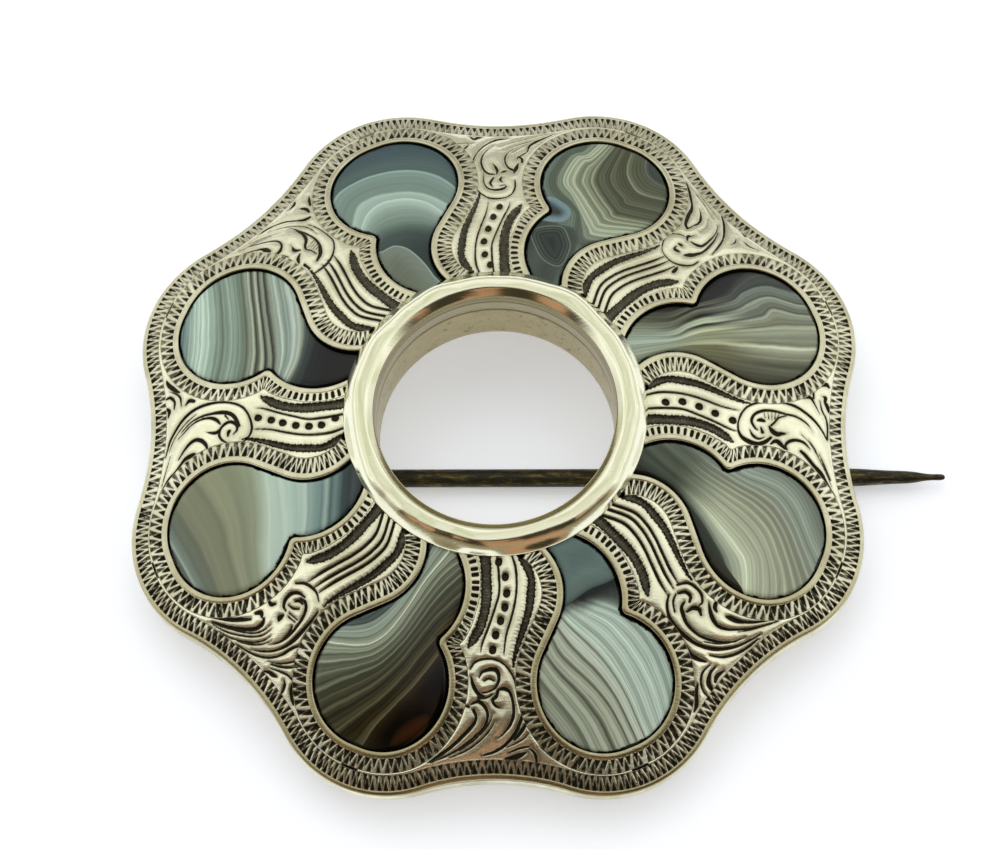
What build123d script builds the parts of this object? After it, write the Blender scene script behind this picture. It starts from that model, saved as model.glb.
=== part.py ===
from build123d import *
import math
import os

# An agate brooch, in millimetres. The front faces +Z, the pin runs along +X to its tip, and the
# origin is the centre of the round bore where its straight wall begins, level with the foot of the dome.

# Outline of the frame: eight lobes joined by shallow valleys
LOBES = 8
FIRST_LOBE_DEG = 22.5
LOBE_REACH = 25.1
VALLEY_DEPTH = 2.3
LOBE_RADIUS = 7.5

# The domed front plate and the low wall round it; the foot of the dome lies just inside the lobes
DOME_RADIUS = 51.0
FOOT_INSET = 1.1
WALL_HEIGHT = 1.5
SIDE_WALL = 0.8
RIM_ROUNDING = 0.4
FRONT_PLATE = 1.9
POCKET_DEPTH = 1.3

# A stone opening: a round head set in from the lobe and a tail that bends in under the ring
HEAD_INSET = 6.62
HEAD_RADIUS = 4.05
HEAD_STRETCH = 0.6
HEAD_SHIFT = -0.1
TAIL_BACK_OUT = 3.05
TAIL_BACK_Y = 3.0
TAIL_BACK_RADIUS = 4.16
TAIL_FRONT_DEG = -6.3
FLANK_NORMAL_DEG = 42.4
FLANK_LENGTH = 2.2
CUSP_RADIUS = 0.45
TAIL_LAND = 0.3

# The stones
STONE_GAP = 0.05
STONE_SINK = 0.12
STONE_BEVEL = 0.2

# The tube through the middle and the polished ring seated in it
BORE_RADIUS = 7.7
BORE_FLARE = 0.8
TUBE_WALL = 1.0
SLEEVE_WALL = 0.7
SLEEVE_DEPTH = 1.65
RING_WIDTH = 2.05
RING_FOOT = 0.05
RING_CREST = 1.0
FIT_GAP = 0.03

# The back plate, with the hinge lugs and the catch soldered to it
BACK_PLATE = 0.5
SOLDER = 0.2

# The pin, its hinge and its catch
PIN_Y = -1.9
PIN_RADIUS = 0.6
PIN_SHOWS = 6.7
PIN_TAPER = 6.6
# Rows are the share of the taper and the share of the stem's radius there
PIN_POINT = ((0.45, 0.76), (0.7, 0.6), (0.9, 0.34))
HINGE_INSET = 4.2
EYE_WALL = 0.4
EYE_WIDTH = 1.3
EYE_CLEARANCE = 0.15
ROOT_LENGTH = 1.4
LUG_WALL = 0.45
LUG_THICKNESS = 0.9
LUG_GAP = 0.06
RIVET_RADIUS = 0.35
RIVET_FIT = 0.03
RIVET_HEAD = 0.15
CATCH_INSET = 3.2
CATCH_LENGTH = 1.8
CATCH_WALL = 0.4
CATCH_PLAY = 0.14
CATCH_MOUTH = 0.08
CATCH_HANG = 0.8

# Places that follow from the sizes above
VALLEY_REACH = LOBE_REACH - VALLEY_DEPTH
FOOT_RADIUS = LOBE_REACH - FOOT_INSET
HEAD_CENTRE = LOBE_REACH - HEAD_INSET
TUBE_RADIUS = BORE_RADIUS + TUBE_WALL
SLEEVE_SEAT = BORE_RADIUS + SLEEVE_WALL
RING_RADIUS = BORE_RADIUS + RING_WIDTH
TAIL_BACK_X = RING_RADIUS + TAIL_BACK_OUT
TAIL_END = TUBE_RADIUS + TAIL_LAND
HINGE_X = HINGE_INSET - VALLEY_REACH
CATCH_X = VALLEY_REACH - CATCH_INSET
PIN_TIP_X = VALLEY_REACH + PIN_SHOWS
EYE_RADIUS = RIVET_RADIUS + EYE_WALL
LUG_RADIUS = RIVET_RADIUS + LUG_WALL
PIN_DROP = EYE_RADIUS + EYE_CLEARANCE
CATCH_BOW = PIN_RADIUS + CATCH_PLAY
DOME_CENTRE_Z = -math.sqrt(DOME_RADIUS**2 - FOOT_RADIUS**2)
BACK_Z = -WALL_HEIGHT
STEP_DEG = 360.0 / LOBES
PIN_Z = BACK_Z - PIN_DROP
HEAD_HALF = HEAD_STRETCH / 2


def dome_height(radius, sink=0.0):
    """Height of the domed front, lowered by sink, at a distance from the axis."""
    return DOME_CENTRE_Z + math.sqrt(DOME_RADIUS**2 - radius**2) - sink


def sleeve_foot():
    """Height of the foot of the ring's sleeve, below the dome where the sleeve is seated."""
    return dome_height(SLEEVE_SEAT, SLEEVE_DEPTH)


def polar(radius, degrees):
    """Point of the XY plane at a radius and an angle."""
    angle = math.radians(degrees)
    return (radius * math.cos(angle), radius * math.sin(angle))


def between(start, end, share):
    """Point on the straight line from start to end."""
    return (start[0] + (end[0] - start[0]) * share, start[1] + (end[1] - start[1]) * share)


def circle_crossing(centre_a, radius_a, centre_b, radius_b, side):
    """Crossing of two circles on the left (side 1) or right (side -1) of the line a to b."""
    dx, dy = centre_b[0] - centre_a[0], centre_b[1] - centre_a[1]
    span = math.hypot(dx, dy)
    along = (radius_a**2 - radius_b**2 + span**2) / (2 * span)
    across = side * math.sqrt(radius_a**2 - along**2)
    return (
        centre_a[0] + (along * dx - across * dy) / span,
        centre_a[1] + (along * dy + across * dx) / span,
    )


def arc_middle(centre, start, end):
    """Middle of the short arc from start to end round a centre."""
    radius = math.dist(centre, start)
    half = between(start, end, 0.5)
    return between(centre, half, radius / math.dist(centre, half))


def frame_outline(inset=0.0):
    """Closed face of the eight-lobed outline, moved inward by inset."""
    half_step = STEP_DEG / 2
    lobe_centre = LOBE_REACH - LOBE_RADIUS
    # The valley arc touches the two lobe arcs beside it, so its radius follows from the reaches
    turn = math.cos(math.radians(half_step))
    fixed = lobe_centre**2 + VALLEY_REACH**2 - 2 * lobe_centre * VALLEY_REACH * turn - LOBE_RADIUS**2
    valley_radius = fixed / (2 * LOBE_RADIUS + 2 * lobe_centre * turn - 2 * VALLEY_REACH)
    edges = []
    for index in range(LOBES):
        lobe_deg = FIRST_LOBE_DEG + index * STEP_DEG
        centre = polar(lobe_centre, lobe_deg)
        before = polar(VALLEY_REACH + valley_radius, lobe_deg - half_step)
        after = polar(VALLEY_REACH + valley_radius, lobe_deg + half_step)
        beyond = polar(lobe_centre, lobe_deg + STEP_DEG)
        reach = (LOBE_RADIUS - inset) / (LOBE_RADIUS + valley_radius)
        start = between(centre, before, reach)
        end = between(centre, after, reach)
        following = between(beyond, after, reach)
        edges.append(ThreePointArc(start, polar(LOBE_REACH - inset, lobe_deg), end))
        edges.append(ThreePointArc(end, polar(VALLEY_REACH - inset, lobe_deg + half_step), following))
    return make_face(edges)


def front_arc(lower, across):
    """Centre and radius of the arc that leaves the flank and meets the tail's end at its named angle."""
    start = (
        lower[0] - HEAD_RADIUS * across[0] - FLANK_LENGTH * across[1],
        lower[1] - HEAD_RADIUS * across[1] + FLANK_LENGTH * across[0],
    )
    goal = polar(TAIL_END, TAIL_FRONT_DEG)
    dx, dy = start[0] - goal[0], start[1] - goal[1]
    radius = (dx**2 + dy**2) / (2 * (dx * across[0] + dy * across[1]))
    return (start[0] - radius * across[0], start[1] - radius * across[1]), radius


def stone_outline(inset=0.0):
    """Closed face of one stone opening on the +X axis, moved inward by inset."""
    head = HEAD_RADIUS - inset
    back = TAIL_BACK_RADIUS - inset
    cusp = CUSP_RADIUS + inset
    end = TAIL_END + inset
    upper = (HEAD_CENTRE, HEAD_SHIFT + HEAD_HALF)
    lower = (HEAD_CENTRE, HEAD_SHIFT - HEAD_HALF)
    back_centre = (TAIL_BACK_X, TAIL_BACK_Y - TAIL_BACK_RADIUS)

    # The cusp is a small round that touches the head and the back of the tail
    cusp_centre = circle_crossing(back_centre, back + cusp, upper, head + cusp, 1)
    cusp_in = between(cusp_centre, back_centre, cusp / math.dist(cusp_centre, back_centre))
    cusp_out = between(cusp_centre, upper, cusp / math.dist(cusp_centre, upper))

    # A straight flank touches the head from inside, and the front of the tail curls on from it
    across = polar(1.0, FLANK_NORMAL_DEG)
    flank_out = (lower[0] - head * across[0], lower[1] - head * across[1])
    flank_in = (flank_out[0] - FLANK_LENGTH * across[1], flank_out[1] + FLANK_LENGTH * across[0])
    front_centre, front = front_arc(lower, across)
    front += inset

    # The tail ends on a circle under the ring
    back_end = circle_crossing((0, 0), end, back_centre, back, 1)
    front_end = circle_crossing((0, 0), end, front_centre, front, 1)
    right_up = (upper[0] + head, upper[1])
    right_down = (lower[0] + head, lower[1])
    edges = [
        ThreePointArc(back_end, arc_middle(back_centre, back_end, cusp_in), cusp_in),
        ThreePointArc(cusp_in, arc_middle(cusp_centre, cusp_in, cusp_out), cusp_out),
        ThreePointArc(cusp_out, arc_middle(upper, cusp_out, right_up), right_up),
        Line(right_up, right_down),
        ThreePointArc(right_down, arc_middle(lower, right_down, flank_out), flank_out),
        Line(flank_out, flank_in),
        ThreePointArc(flank_in, arc_middle(front_centre, flank_in, front_end), front_end),
        ThreePointArc(front_end, arc_middle((0, 0), front_end, back_end), back_end),
    ]
    return make_face(edges)


def dome(sink=0.0):
    """Solid ball whose top is the domed front, lowered by sink."""
    return Pos(0, 0, DOME_CENTRE_Z - sink) * Sphere(DOME_RADIUS)


def disc(radius, low, high):
    """Upright cylinder on the axis between two heights."""
    return Pos(0, 0, low) * Cylinder(radius, high - low, align=(Align.CENTER, Align.CENTER, Align.MIN))


def prism(face, low, high):
    """Face of the XY plane raised to a solid between two heights."""
    return Pos(0, 0, low) * extrude(face, high - low)


def around(shape, index):
    """The shape turned to a lobe."""
    return Rot(0, 0, FIRST_LOBE_DEG + index * STEP_DEG) * shape


def hinge_rod(radius, y_low, y_high):
    """Cylinder along Y on the hinge line."""
    return Pos(HINGE_X, (y_low + y_high) / 2, PIN_Z) * Rot(90, 0, 0) * Cylinder(radius, y_high - y_low)


def stem_rod(radius, x_low, x_high):
    """Cylinder along X on the line of the pin."""
    return Pos((x_low + x_high) / 2, PIN_Y, PIN_Z) * Rot(0, 90, 0) * Cylinder(radius, x_high - x_low)


def make_frame():
    """Domed front plate on a low wall, with eight pockets and the tube in the middle."""
    top = dome_height(0) + 1
    body = prism(frame_outline(), BACK_Z, top) & dome()
    rim = [edge for edge in body.edges() if edge.center().Z > BACK_Z / 2 and abs((edge % 0.5).Z) < 0.5]
    body = fillet(rim, RIM_ROUNDING)
    seat = prism(frame_outline(SIDE_WALL), BACK_Z, BACK_Z + BACK_PLATE)
    hollow = prism(frame_outline(SIDE_WALL), BACK_Z, top) & dome(FRONT_PLATE)
    body = body - seat - hollow
    body = body + disc(TUBE_RADIUS, BACK_Z, dome_height(TUBE_RADIUS, FRONT_PLATE / 2))
    pocket = prism(stone_outline(), BACK_Z, top) - dome(POCKET_DEPTH)
    for index in range(LOBES):
        body = body - around(pocket, index)
    body = body - disc(BORE_RADIUS, BACK_Z - 1, top) - disc(SLEEVE_SEAT, sleeve_foot(), top)
    flare = Cone(BORE_RADIUS + BORE_FLARE, BORE_RADIUS, WALL_HEIGHT, align=(Align.CENTER, Align.CENTER, Align.MAX))
    return body - flare


def make_agate():
    """One stone on the +X axis: a slab that follows the dome, bevelled along its upper edge."""
    top = dome_height(0) + 1
    slab = (prism(stone_outline(STONE_GAP), BACK_Z, top) & dome(STONE_SINK)) - dome(POCKET_DEPTH - FIT_GAP)
    upper = slab.faces().filter_by(GeomType.SPHERE).sort_by(Axis.Z)[-1]
    return chamfer(upper.edges(), STONE_BEVEL)


def make_ring():
    """Polished half-round ring on the dome, with a sleeve down into the tube."""
    bed = dome_height(RING_RADIUS) + FIT_GAP
    spring = bed + RING_FOOT
    middle = (BORE_RADIUS + RING_RADIUS) / 2
    half = (RING_RADIUS - BORE_RADIUS) / 2
    sleeve = SLEEVE_SEAT - FIT_GAP
    foot = sleeve_foot() + FIT_GAP
    under = dome_height(sleeve) + FIT_GAP
    under_middle = (sleeve + RING_RADIUS) / 2
    edges = [
        EllipticalCenterArc((middle, spring), half, RING_CREST, start_angle=0, arc_size=180),
        Line((BORE_RADIUS, spring), (BORE_RADIUS, foot)),
        Line((BORE_RADIUS, foot), (sleeve, foot)),
        Line((sleeve, foot), (sleeve, under)),
        ThreePointArc((sleeve, under), (under_middle, dome_height(under_middle) + FIT_GAP), (RING_RADIUS, bed)),
        Line((RING_RADIUS, bed), (RING_RADIUS, spring)),
    ]
    return revolve(Plane.XZ * make_face(edges), Axis.Z)


def make_back_plate():
    """Flat plate in the back of the frame, with two hinge lugs and the catch soldered to it."""
    plate = prism(frame_outline(SIDE_WALL + FIT_GAP), BACK_Z, BACK_Z + BACK_PLATE - FIT_GAP)
    plate = plate - disc(TUBE_RADIUS + FIT_GAP, BACK_Z - 1, BACK_Z + 1)

    # Each lug is a tongue with a round end about the hinge line
    reach = EYE_WIDTH / 2 + LUG_GAP
    for low in (PIN_Y - reach - LUG_THICKNESS, PIN_Y + reach):
        high = low + LUG_THICKNESS
        tongue = Pos(HINGE_X, (low + high) / 2, BACK_Z + SOLDER) * Box(
            2 * LUG_RADIUS, LUG_THICKNESS, PIN_DROP + SOLDER, align=(Align.CENTER, Align.CENTER, Align.MAX)
        )
        plate = plate + tongue + hinge_rod(LUG_RADIUS, low, high)
    hole = hinge_rod(RIVET_RADIUS + RIVET_FIT, PIN_Y - reach - 2 * LUG_THICKNESS, PIN_Y + reach + 2 * LUG_THICKNESS)
    plate = plate - hole

    # The catch is a short C-shaped clip round the stem, open away from the plate
    bow = CATCH_BOW + CATCH_WALL
    clip = stem_rod(bow, CATCH_X - CATCH_LENGTH / 2, CATCH_X + CATCH_LENGTH / 2)
    foot = Pos(CATCH_X, PIN_Y, BACK_Z + SOLDER) * Box(
        CATCH_LENGTH, 2 * CATCH_BOW, PIN_DROP + SOLDER, align=(Align.CENTER, Align.CENTER, Align.MAX)
    )
    hollow = stem_rod(CATCH_BOW, CATCH_X - CATCH_LENGTH, CATCH_X + CATCH_LENGTH)
    mouth = Pos(CATCH_X, PIN_Y, PIN_Z) * Box(
        2 * CATCH_LENGTH, 2 * (PIN_RADIUS + CATCH_MOUTH), 2 * bow, align=(Align.CENTER, Align.CENTER, Align.MAX)
    )
    below = Pos(CATCH_X, PIN_Y, PIN_Z - CATCH_HANG) * Box(
        2 * CATCH_LENGTH, 4 * bow, bow, align=(Align.CENTER, Align.CENTER, Align.MAX)
    )
    return plate + ((clip + foot) - hollow - mouth - below)


def make_hinge_rivet():
    """Rivet through both lugs and the eye, with a low head at each end."""
    reach = EYE_WIDTH / 2 + LUG_GAP + LUG_THICKNESS + FIT_GAP
    rivet = hinge_rod(RIVET_RADIUS, PIN_Y - reach, PIN_Y + reach)
    head = RIVET_RADIUS + RIVET_HEAD
    rivet = rivet + hinge_rod(head, PIN_Y - reach - RIVET_HEAD, PIN_Y - reach)
    return rivet + hinge_rod(head, PIN_Y + reach, PIN_Y + reach + RIVET_HEAD)


def make_pin():
    """Stem turned about its own line, from a drilled eye to a slim point."""
    root = HINGE_X
    shoulder = root + ROOT_LENGTH
    taper = PIN_TIP_X - PIN_TAPER
    points = [(taper, PIN_RADIUS)]
    for share, width in PIN_POINT:
        points.append((taper + PIN_TAPER * share, PIN_RADIUS * width))
    points.append((PIN_TIP_X, 0))
    edges = [
        Line((root, 0), (root, EYE_WIDTH / 2)),
        Line((root, EYE_WIDTH / 2), (shoulder, EYE_WIDTH / 2)),
        Line((shoulder, EYE_WIDTH / 2), (shoulder, PIN_RADIUS)),
        Line((shoulder, PIN_RADIUS), (taper, PIN_RADIUS)),
        Spline(points, tangents=[(1, 0), (0, -1)]),
        Line((PIN_TIP_X, 0), (root, 0)),
    ]
    stem = Pos(0, PIN_Y, PIN_Z) * revolve(make_face(edges), Axis.X)
    eye = hinge_rod(EYE_RADIUS, PIN_Y - EYE_WIDTH / 2, PIN_Y + EYE_WIDTH / 2)
    hole = hinge_rod(RIVET_RADIUS + RIVET_FIT, PIN_Y - EYE_WIDTH, PIN_Y + EYE_WIDTH)
    return (stem + eye) - hole


def main():
    """Write one STEP file for each piece."""
    os.makedirs("parts", exist_ok=True)
    pieces = {
        "frame": make_frame(),
        "centre_ring": make_ring(),
        "back_plate": make_back_plate(),
        "hinge_rivet": make_hinge_rivet(),
        "pin": make_pin(),
    }
    agate = make_agate()
    for index in range(LOBES):
        pieces[f"agate_{index + 1}"] = around(agate, index)
    for name, piece in pieces.items():
        export_step(piece, f"parts/{name}.step")


main()
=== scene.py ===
"""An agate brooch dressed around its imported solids.

Sizes are in millimetres in the brooch's own frame, and become metres when a mesh is made. The front faces
+Z, the pin runs along +X, and the lobes lie at 22.5 degrees and every 45 degrees on.
"""

import math

import bpy
import numpy as np
from mathutils import Matrix, Vector


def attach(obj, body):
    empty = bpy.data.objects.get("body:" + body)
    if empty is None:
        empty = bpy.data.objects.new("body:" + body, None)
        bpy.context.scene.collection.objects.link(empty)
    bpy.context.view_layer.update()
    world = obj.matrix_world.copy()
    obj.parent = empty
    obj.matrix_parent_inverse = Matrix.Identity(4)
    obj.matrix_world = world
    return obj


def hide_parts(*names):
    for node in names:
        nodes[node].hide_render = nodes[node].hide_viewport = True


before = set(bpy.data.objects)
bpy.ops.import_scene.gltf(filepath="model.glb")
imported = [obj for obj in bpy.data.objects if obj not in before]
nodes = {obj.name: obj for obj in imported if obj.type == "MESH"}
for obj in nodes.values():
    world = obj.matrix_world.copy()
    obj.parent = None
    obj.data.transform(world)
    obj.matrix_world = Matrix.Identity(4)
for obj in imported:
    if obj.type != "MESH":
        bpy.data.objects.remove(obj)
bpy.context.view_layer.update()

MM = 0.001

# Outline of the frame
LOBES = 8
STEP_DEG = 45.0
FIRST_LOBE_DEG = 22.5
LOBE_REACH = 25.1
VALLEY_REACH = 22.8
LOBE_RADIUS = 7.5
BACK_Z = -1.5
SIDE_WALL = 0.8

# The dome, and how far its edge is beaten flat: up at the lobes and down at the valleys
DOME_RADIUS = 51.0
FOOT_RADIUS = 24.0
EDGE_LIFT = 0.33
EDGE_DROP = 0.06
EDGE_BAND = 3.6

# A stone opening
HEAD_CENTRE = 18.48
HEAD_RADIUS = 4.05
HEAD_HALF = 0.3
HEAD_SHIFT = -0.1
TAIL_BACK_X = 12.8
TAIL_BACK_Y = 3.0
TAIL_BACK_RADIUS = 4.16
CUSP_RADIUS = 0.45
TAIL_END = 9.0
TAIL_FRONT_DEG = -6.3
FLANK_NORMAL_DEG = 42.4
FLANK_LENGTH = 2.2

# The middle
BORE_RADIUS = 7.7
BORE_FLARE = 0.8
TUBE_RADIUS = 8.7
RING_RADIUS = 9.75
RING_CREST = 1.0
SEAM_Z = 3.65

# Rows of chisel cuts: step of the lines they follow, pitch, lean and depth of the cuts, rows and columns
PATH_STEP = 0.02
WEDGE_PITCH = 0.44
TAIL_PITCH = 0.36
CUT_LEAN = 0.12
CUT_SLOPE = 1.8
WEDGE_DEPTH = 0.15
ZIGZAG_ROWS = 13
STONE_COLUMNS = 8
RIM_COLUMNS = 7

# How much the cuts of a row differ in lean, girth, shift and reach
CUT_SPREADS = (0.08, 0.12, 0.05, 0.07)

# The wedges of a pitch, black at the lip and bright at the far side: half the width at the root in pitches,
# the length and the place where the lean turns in row widths, and the part left as an oblong where narrow
BLACK_WEDGE = (0.35, 0.74, 0.25, 0.7)
BRIGHT_WEDGE = (0.29, 0.86, 0.75, 0.0)
OBLONG_BELOW = 0.55
WEDGES_ABOVE = 0.75
OBLONG_POWER = 7
LEAST_HALF = 0.004

# How deep in a cut the finish takes a place to be: bright wedges, clean metal, a dark foot and a faint line
BRIGHT_CUT = 0.002
CLEAN = -0.1
DARK_FOOT = 0.03
FAINT_LINE = -0.015

# Lips and flat edges beside the cuts, and the widths of the rim's row
LIP_WIDTH = 0.4
OUTER_EDGE = 0.03
RIM_LIP = 0.26
LIP_SPREAD = 0.22
RIM_ZIGZAG = 0.9
RIM_VALLEY = 0.78

# The engraved field of an arm, in the arm's own frame with X outwards: its grid, and how far it runs in
# under the borders and the ring
FIELD_STEP = 0.058
FIELD_START = 9.3
FIELD_END = 22.95
FIELD_SIDE = 8.6
FIELD_OVERLAP = 0.13
FIELD_SINK = 0.12
RING_LAP = 0.35
ARM_MIDDLE = (13.0, 1.0)
ARM_GAP = 0.05
FAR_OUTSIDE = -0.6

# Its cuts and channels, and the swell between them
GROOVE_DEPTH = 0.13
CHANNEL_DEPTH = 0.16
CHANNEL_SLOPE = 0.9
CHANNEL_TEAR = 0.02
CHANNEL_SOOT = 0.03
CHANNEL_SOOT_HALF = 0.045
PILLOW = 0.09
PILLOW_REACH = 0.3
DOT_RADIUS = 0.22
DOT_DROP = 0.12
PLAIN_HALF = 0.085

# Its underside: a straight slope, 1.2 or more below the front
UNDERSIDE_X = 9.35
UNDERSIDE_Z = 3.93
UNDERSIDE_SLOPE = 0.3415


# Outlines and paths

def polar(radius, degrees):
    """Points at radii and angles in the XY plane."""
    angle = np.radians(degrees)
    return np.stack([radius * np.cos(angle), radius * np.sin(angle)], -1)


def circle_crossing(centre_a, radius_a, centre_b, radius_b):
    """Crossing of two circles on the left of the line from a to b."""
    a, b = np.array(centre_a, float), np.array(centre_b, float)
    span = np.linalg.norm(b - a)
    along = (radius_a**2 - radius_b**2 + span**2) / (2 * span)
    across = math.sqrt(radius_a**2 - along**2)
    unit = (b - a) / span
    return a + along * unit + across * np.array([-unit[1], unit[0]])


def arc_between(centre, start, end, turn):
    """Points along the arc from start to end about a centre, with turn 1 to the left and -1 to the right."""
    start, end, centre = (np.array(point, float) for point in (start, end, centre))
    radius = np.linalg.norm(start - centre)
    first = math.atan2(*(start - centre)[::-1])
    last = math.atan2(*(end - centre)[::-1])
    sweep = (turn * (last - first)) % math.tau
    count = max(3, int(sweep * radius / PATH_STEP))
    return centre + polar(radius, np.degrees(first + turn * np.linspace(0, sweep, count)))


def sampled(values, along, places):
    """Rows of a table looked up at places along a line."""
    return np.stack([np.interp(places, along, column) for column in values.T], -1)


def even_path(points):
    """The same line with its points evenly spaced, and the distance along it."""
    gaps = np.linalg.norm(np.diff(points, axis=0), axis=1)
    keep = np.concatenate([[True], gaps > 1e-6])
    points = points[keep]
    along = np.concatenate([[0], np.cumsum(np.linalg.norm(np.diff(points, axis=0), axis=1))])
    count = int(round(along[-1] / PATH_STEP)) + 1
    even = np.linspace(0, along[-1], count)
    return sampled(points, along, even), even


def right_of(points, closed=False):
    """Unit vectors to the right of the way along a line."""
    if closed:
        ahead = np.roll(points, -1, 0) - np.roll(points, 1, 0)
    else:
        ahead = np.gradient(points, axis=0)
    ahead /= np.linalg.norm(ahead, axis=1)[:, None]
    return np.stack([ahead[:, 1], -ahead[:, 0]], -1)


def stone_path():
    """Edge of a stone on the +X axis, from its front end under the ring round the head to its back end.

    Returns the points, the distance along, and the distances where the head starts, where it is furthest
    out, where its round back starts, and where the cusp and the tail's back start.
    """
    upper = np.array([HEAD_CENTRE, HEAD_SHIFT + HEAD_HALF])
    lower = np.array([HEAD_CENTRE, HEAD_SHIFT - HEAD_HALF])
    across = polar(1.0, FLANK_NORMAL_DEG)
    along = np.array([-across[1], across[0]])
    flank_out = lower - HEAD_RADIUS * across
    flank_in = flank_out + FLANK_LENGTH * along
    front_end = polar(TAIL_END, TAIL_FRONT_DEG)
    gap = flank_in - front_end
    front_radius = gap @ gap / (2 * gap @ across)
    front_centre = flank_in - front_radius * across
    back_centre = np.array([TAIL_BACK_X, TAIL_BACK_Y - TAIL_BACK_RADIUS])
    cusp_centre = circle_crossing(
        back_centre, TAIL_BACK_RADIUS + CUSP_RADIUS, upper, HEAD_RADIUS + CUSP_RADIUS
    )
    cusp_in = (back_centre
               + (cusp_centre - back_centre) * TAIL_BACK_RADIUS / (TAIL_BACK_RADIUS + CUSP_RADIUS))
    cusp_out = upper + (cusp_centre - upper) * HEAD_RADIUS / (HEAD_RADIUS + CUSP_RADIUS)
    back_end = circle_crossing((0, 0), TAIL_END, back_centre, TAIL_BACK_RADIUS)
    reach = np.array([HEAD_RADIUS, 0])
    runs = [
        arc_between(front_centre, front_end, flank_in, -1),
        np.linspace(flank_in, flank_out, 100),
        arc_between(lower, flank_out, lower + reach, 1),
        np.linspace(lower + reach, upper + reach, 30),
        arc_between(upper, upper + reach, cusp_out, 1),
        arc_between(cusp_centre, cusp_out, cusp_in, -1),
        arc_between(back_centre, cusp_in, back_end, 1),
    ]
    lengths = [np.linalg.norm(np.diff(run, axis=0), axis=1).sum() for run in runs]
    marks = np.cumsum(lengths)
    points, distance = even_path(np.concatenate(runs))
    return points, distance, {
        "head": marks[1],
        "tip": (marks[2] + marks[3]) / 2,
        "front": marks[3],
        "cusp": marks[4],
        "tail": marks[5],
    }


def frame_path():
    """Closed eight-lobed outline, to the left from the first valley's middle: arcs that meet smoothly."""
    half = STEP_DEG / 2
    lobe_centre = LOBE_REACH - LOBE_RADIUS
    turn_share = math.cos(math.radians(half))
    fixed = lobe_centre**2 + VALLEY_REACH**2 - 2 * lobe_centre * VALLEY_REACH * turn_share - LOBE_RADIUS**2
    valley_radius = fixed / (2 * LOBE_RADIUS + 2 * lobe_centre * turn_share - 2 * VALLEY_REACH)
    runs = []
    for index in range(LOBES):
        lobe_deg = FIRST_LOBE_DEG + index * STEP_DEG
        lobe = polar(lobe_centre, lobe_deg)
        before = polar(VALLEY_REACH + valley_radius, lobe_deg - half)
        after = polar(VALLEY_REACH + valley_radius, lobe_deg + half)
        share = LOBE_RADIUS / (LOBE_RADIUS + valley_radius)
        start, end = lobe + (before - lobe) * share, lobe + (after - lobe) * share
        runs.append(arc_between(before, polar(VALLEY_REACH, lobe_deg - half), start, -1))
        runs.append(arc_between(lobe, start, end, 1))
        runs.append(arc_between(after, end, polar(VALLEY_REACH, lobe_deg + half), -1))
    points, distance = even_path(np.concatenate(runs))
    return points[:-1], distance


def spun(points, degrees):
    """Points turned about the axis."""
    c, s = math.cos(math.radians(degrees)), math.sin(math.radians(degrees))
    return points @ np.array([[c, s], [-s, c]])


def smooth_step(value, low, high):
    """0 below low, 1 above high, and a smooth rise between."""
    share = np.clip((value - low) / (high - low), 0, 1)
    return share * share * (3 - 2 * share)


def front_height(points):
    """Height of the front: a sphere, with its edge lifted at the lobes and lowered at the valleys."""
    radius = np.linalg.norm(points, axis=-1)
    angle = np.arctan2(points[..., 1], points[..., 0]) - math.radians(FIRST_LOBE_DEG)
    wave = np.cos(LOBES * angle)
    sphere = np.sqrt(DOME_RADIUS**2 - radius**2) - math.sqrt(DOME_RADIUS**2 - FOOT_RADIUS**2)
    edge = VALLEY_REACH + (LOBE_REACH - VALLEY_REACH) * (0.5 + 0.5 * wave)
    near = smooth_step(radius, edge - EDGE_BAND, edge)
    return sphere + near * (EDGE_LIFT * wave - EDGE_DROP)


# Meshes

def grid_faces(rows, columns, close_rows=False, close_columns=False):
    """Four-sided faces of a grid whose vertices run along the columns first."""
    r = np.arange(rows if close_rows else rows - 1)
    c = np.arange(columns if close_columns else columns - 1)
    r, c = np.meshgrid(r, c, indexing="ij")
    r2, c2 = (r + 1) % rows, (c + 1) % columns
    corners = [r * columns + c, r * columns + c2, r2 * columns + c2, r2 * columns + c]
    return np.stack(corners, -1).reshape(-1, 4)


def make_piece(name, points, faces, node, finish, slot, caps=(), **attributes):
    """A piece from points in millimetres, four-sided faces and many-sided caps, riding on the brooch."""
    mesh = bpy.data.meshes.new(name)
    mesh.vertices.add(len(points))
    mesh.vertices.foreach_set("co", (np.asarray(points) * MM).astype(np.float32).ravel())
    corners = np.concatenate([faces.ravel(), *caps]).astype(np.int32)
    sizes = np.concatenate([np.full(len(faces), 4), [len(cap) for cap in caps]]).astype(np.int32)
    starts = np.concatenate([[0], np.cumsum(sizes)[:-1]]).astype(np.int32)
    mesh.loops.add(len(corners))
    mesh.loops.foreach_set("vertex_index", corners)
    mesh.polygons.add(len(sizes))
    mesh.polygons.foreach_set("loop_start", starts)
    mesh.update(calc_edges=True)
    mesh.validate()
    mesh.shade_smooth()
    for key, values in attributes.items():
        layer = mesh.attributes.new(key, "FLOAT", "POINT")
        layer.data.foreach_set("value", np.asarray(values, np.float32).ravel())
    piece = bpy.data.objects.new(name, mesh)
    bpy.context.scene.collection.objects.link(piece)
    piece.data.materials.append(finish)
    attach(piece, "brooch")
    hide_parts(node)


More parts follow.
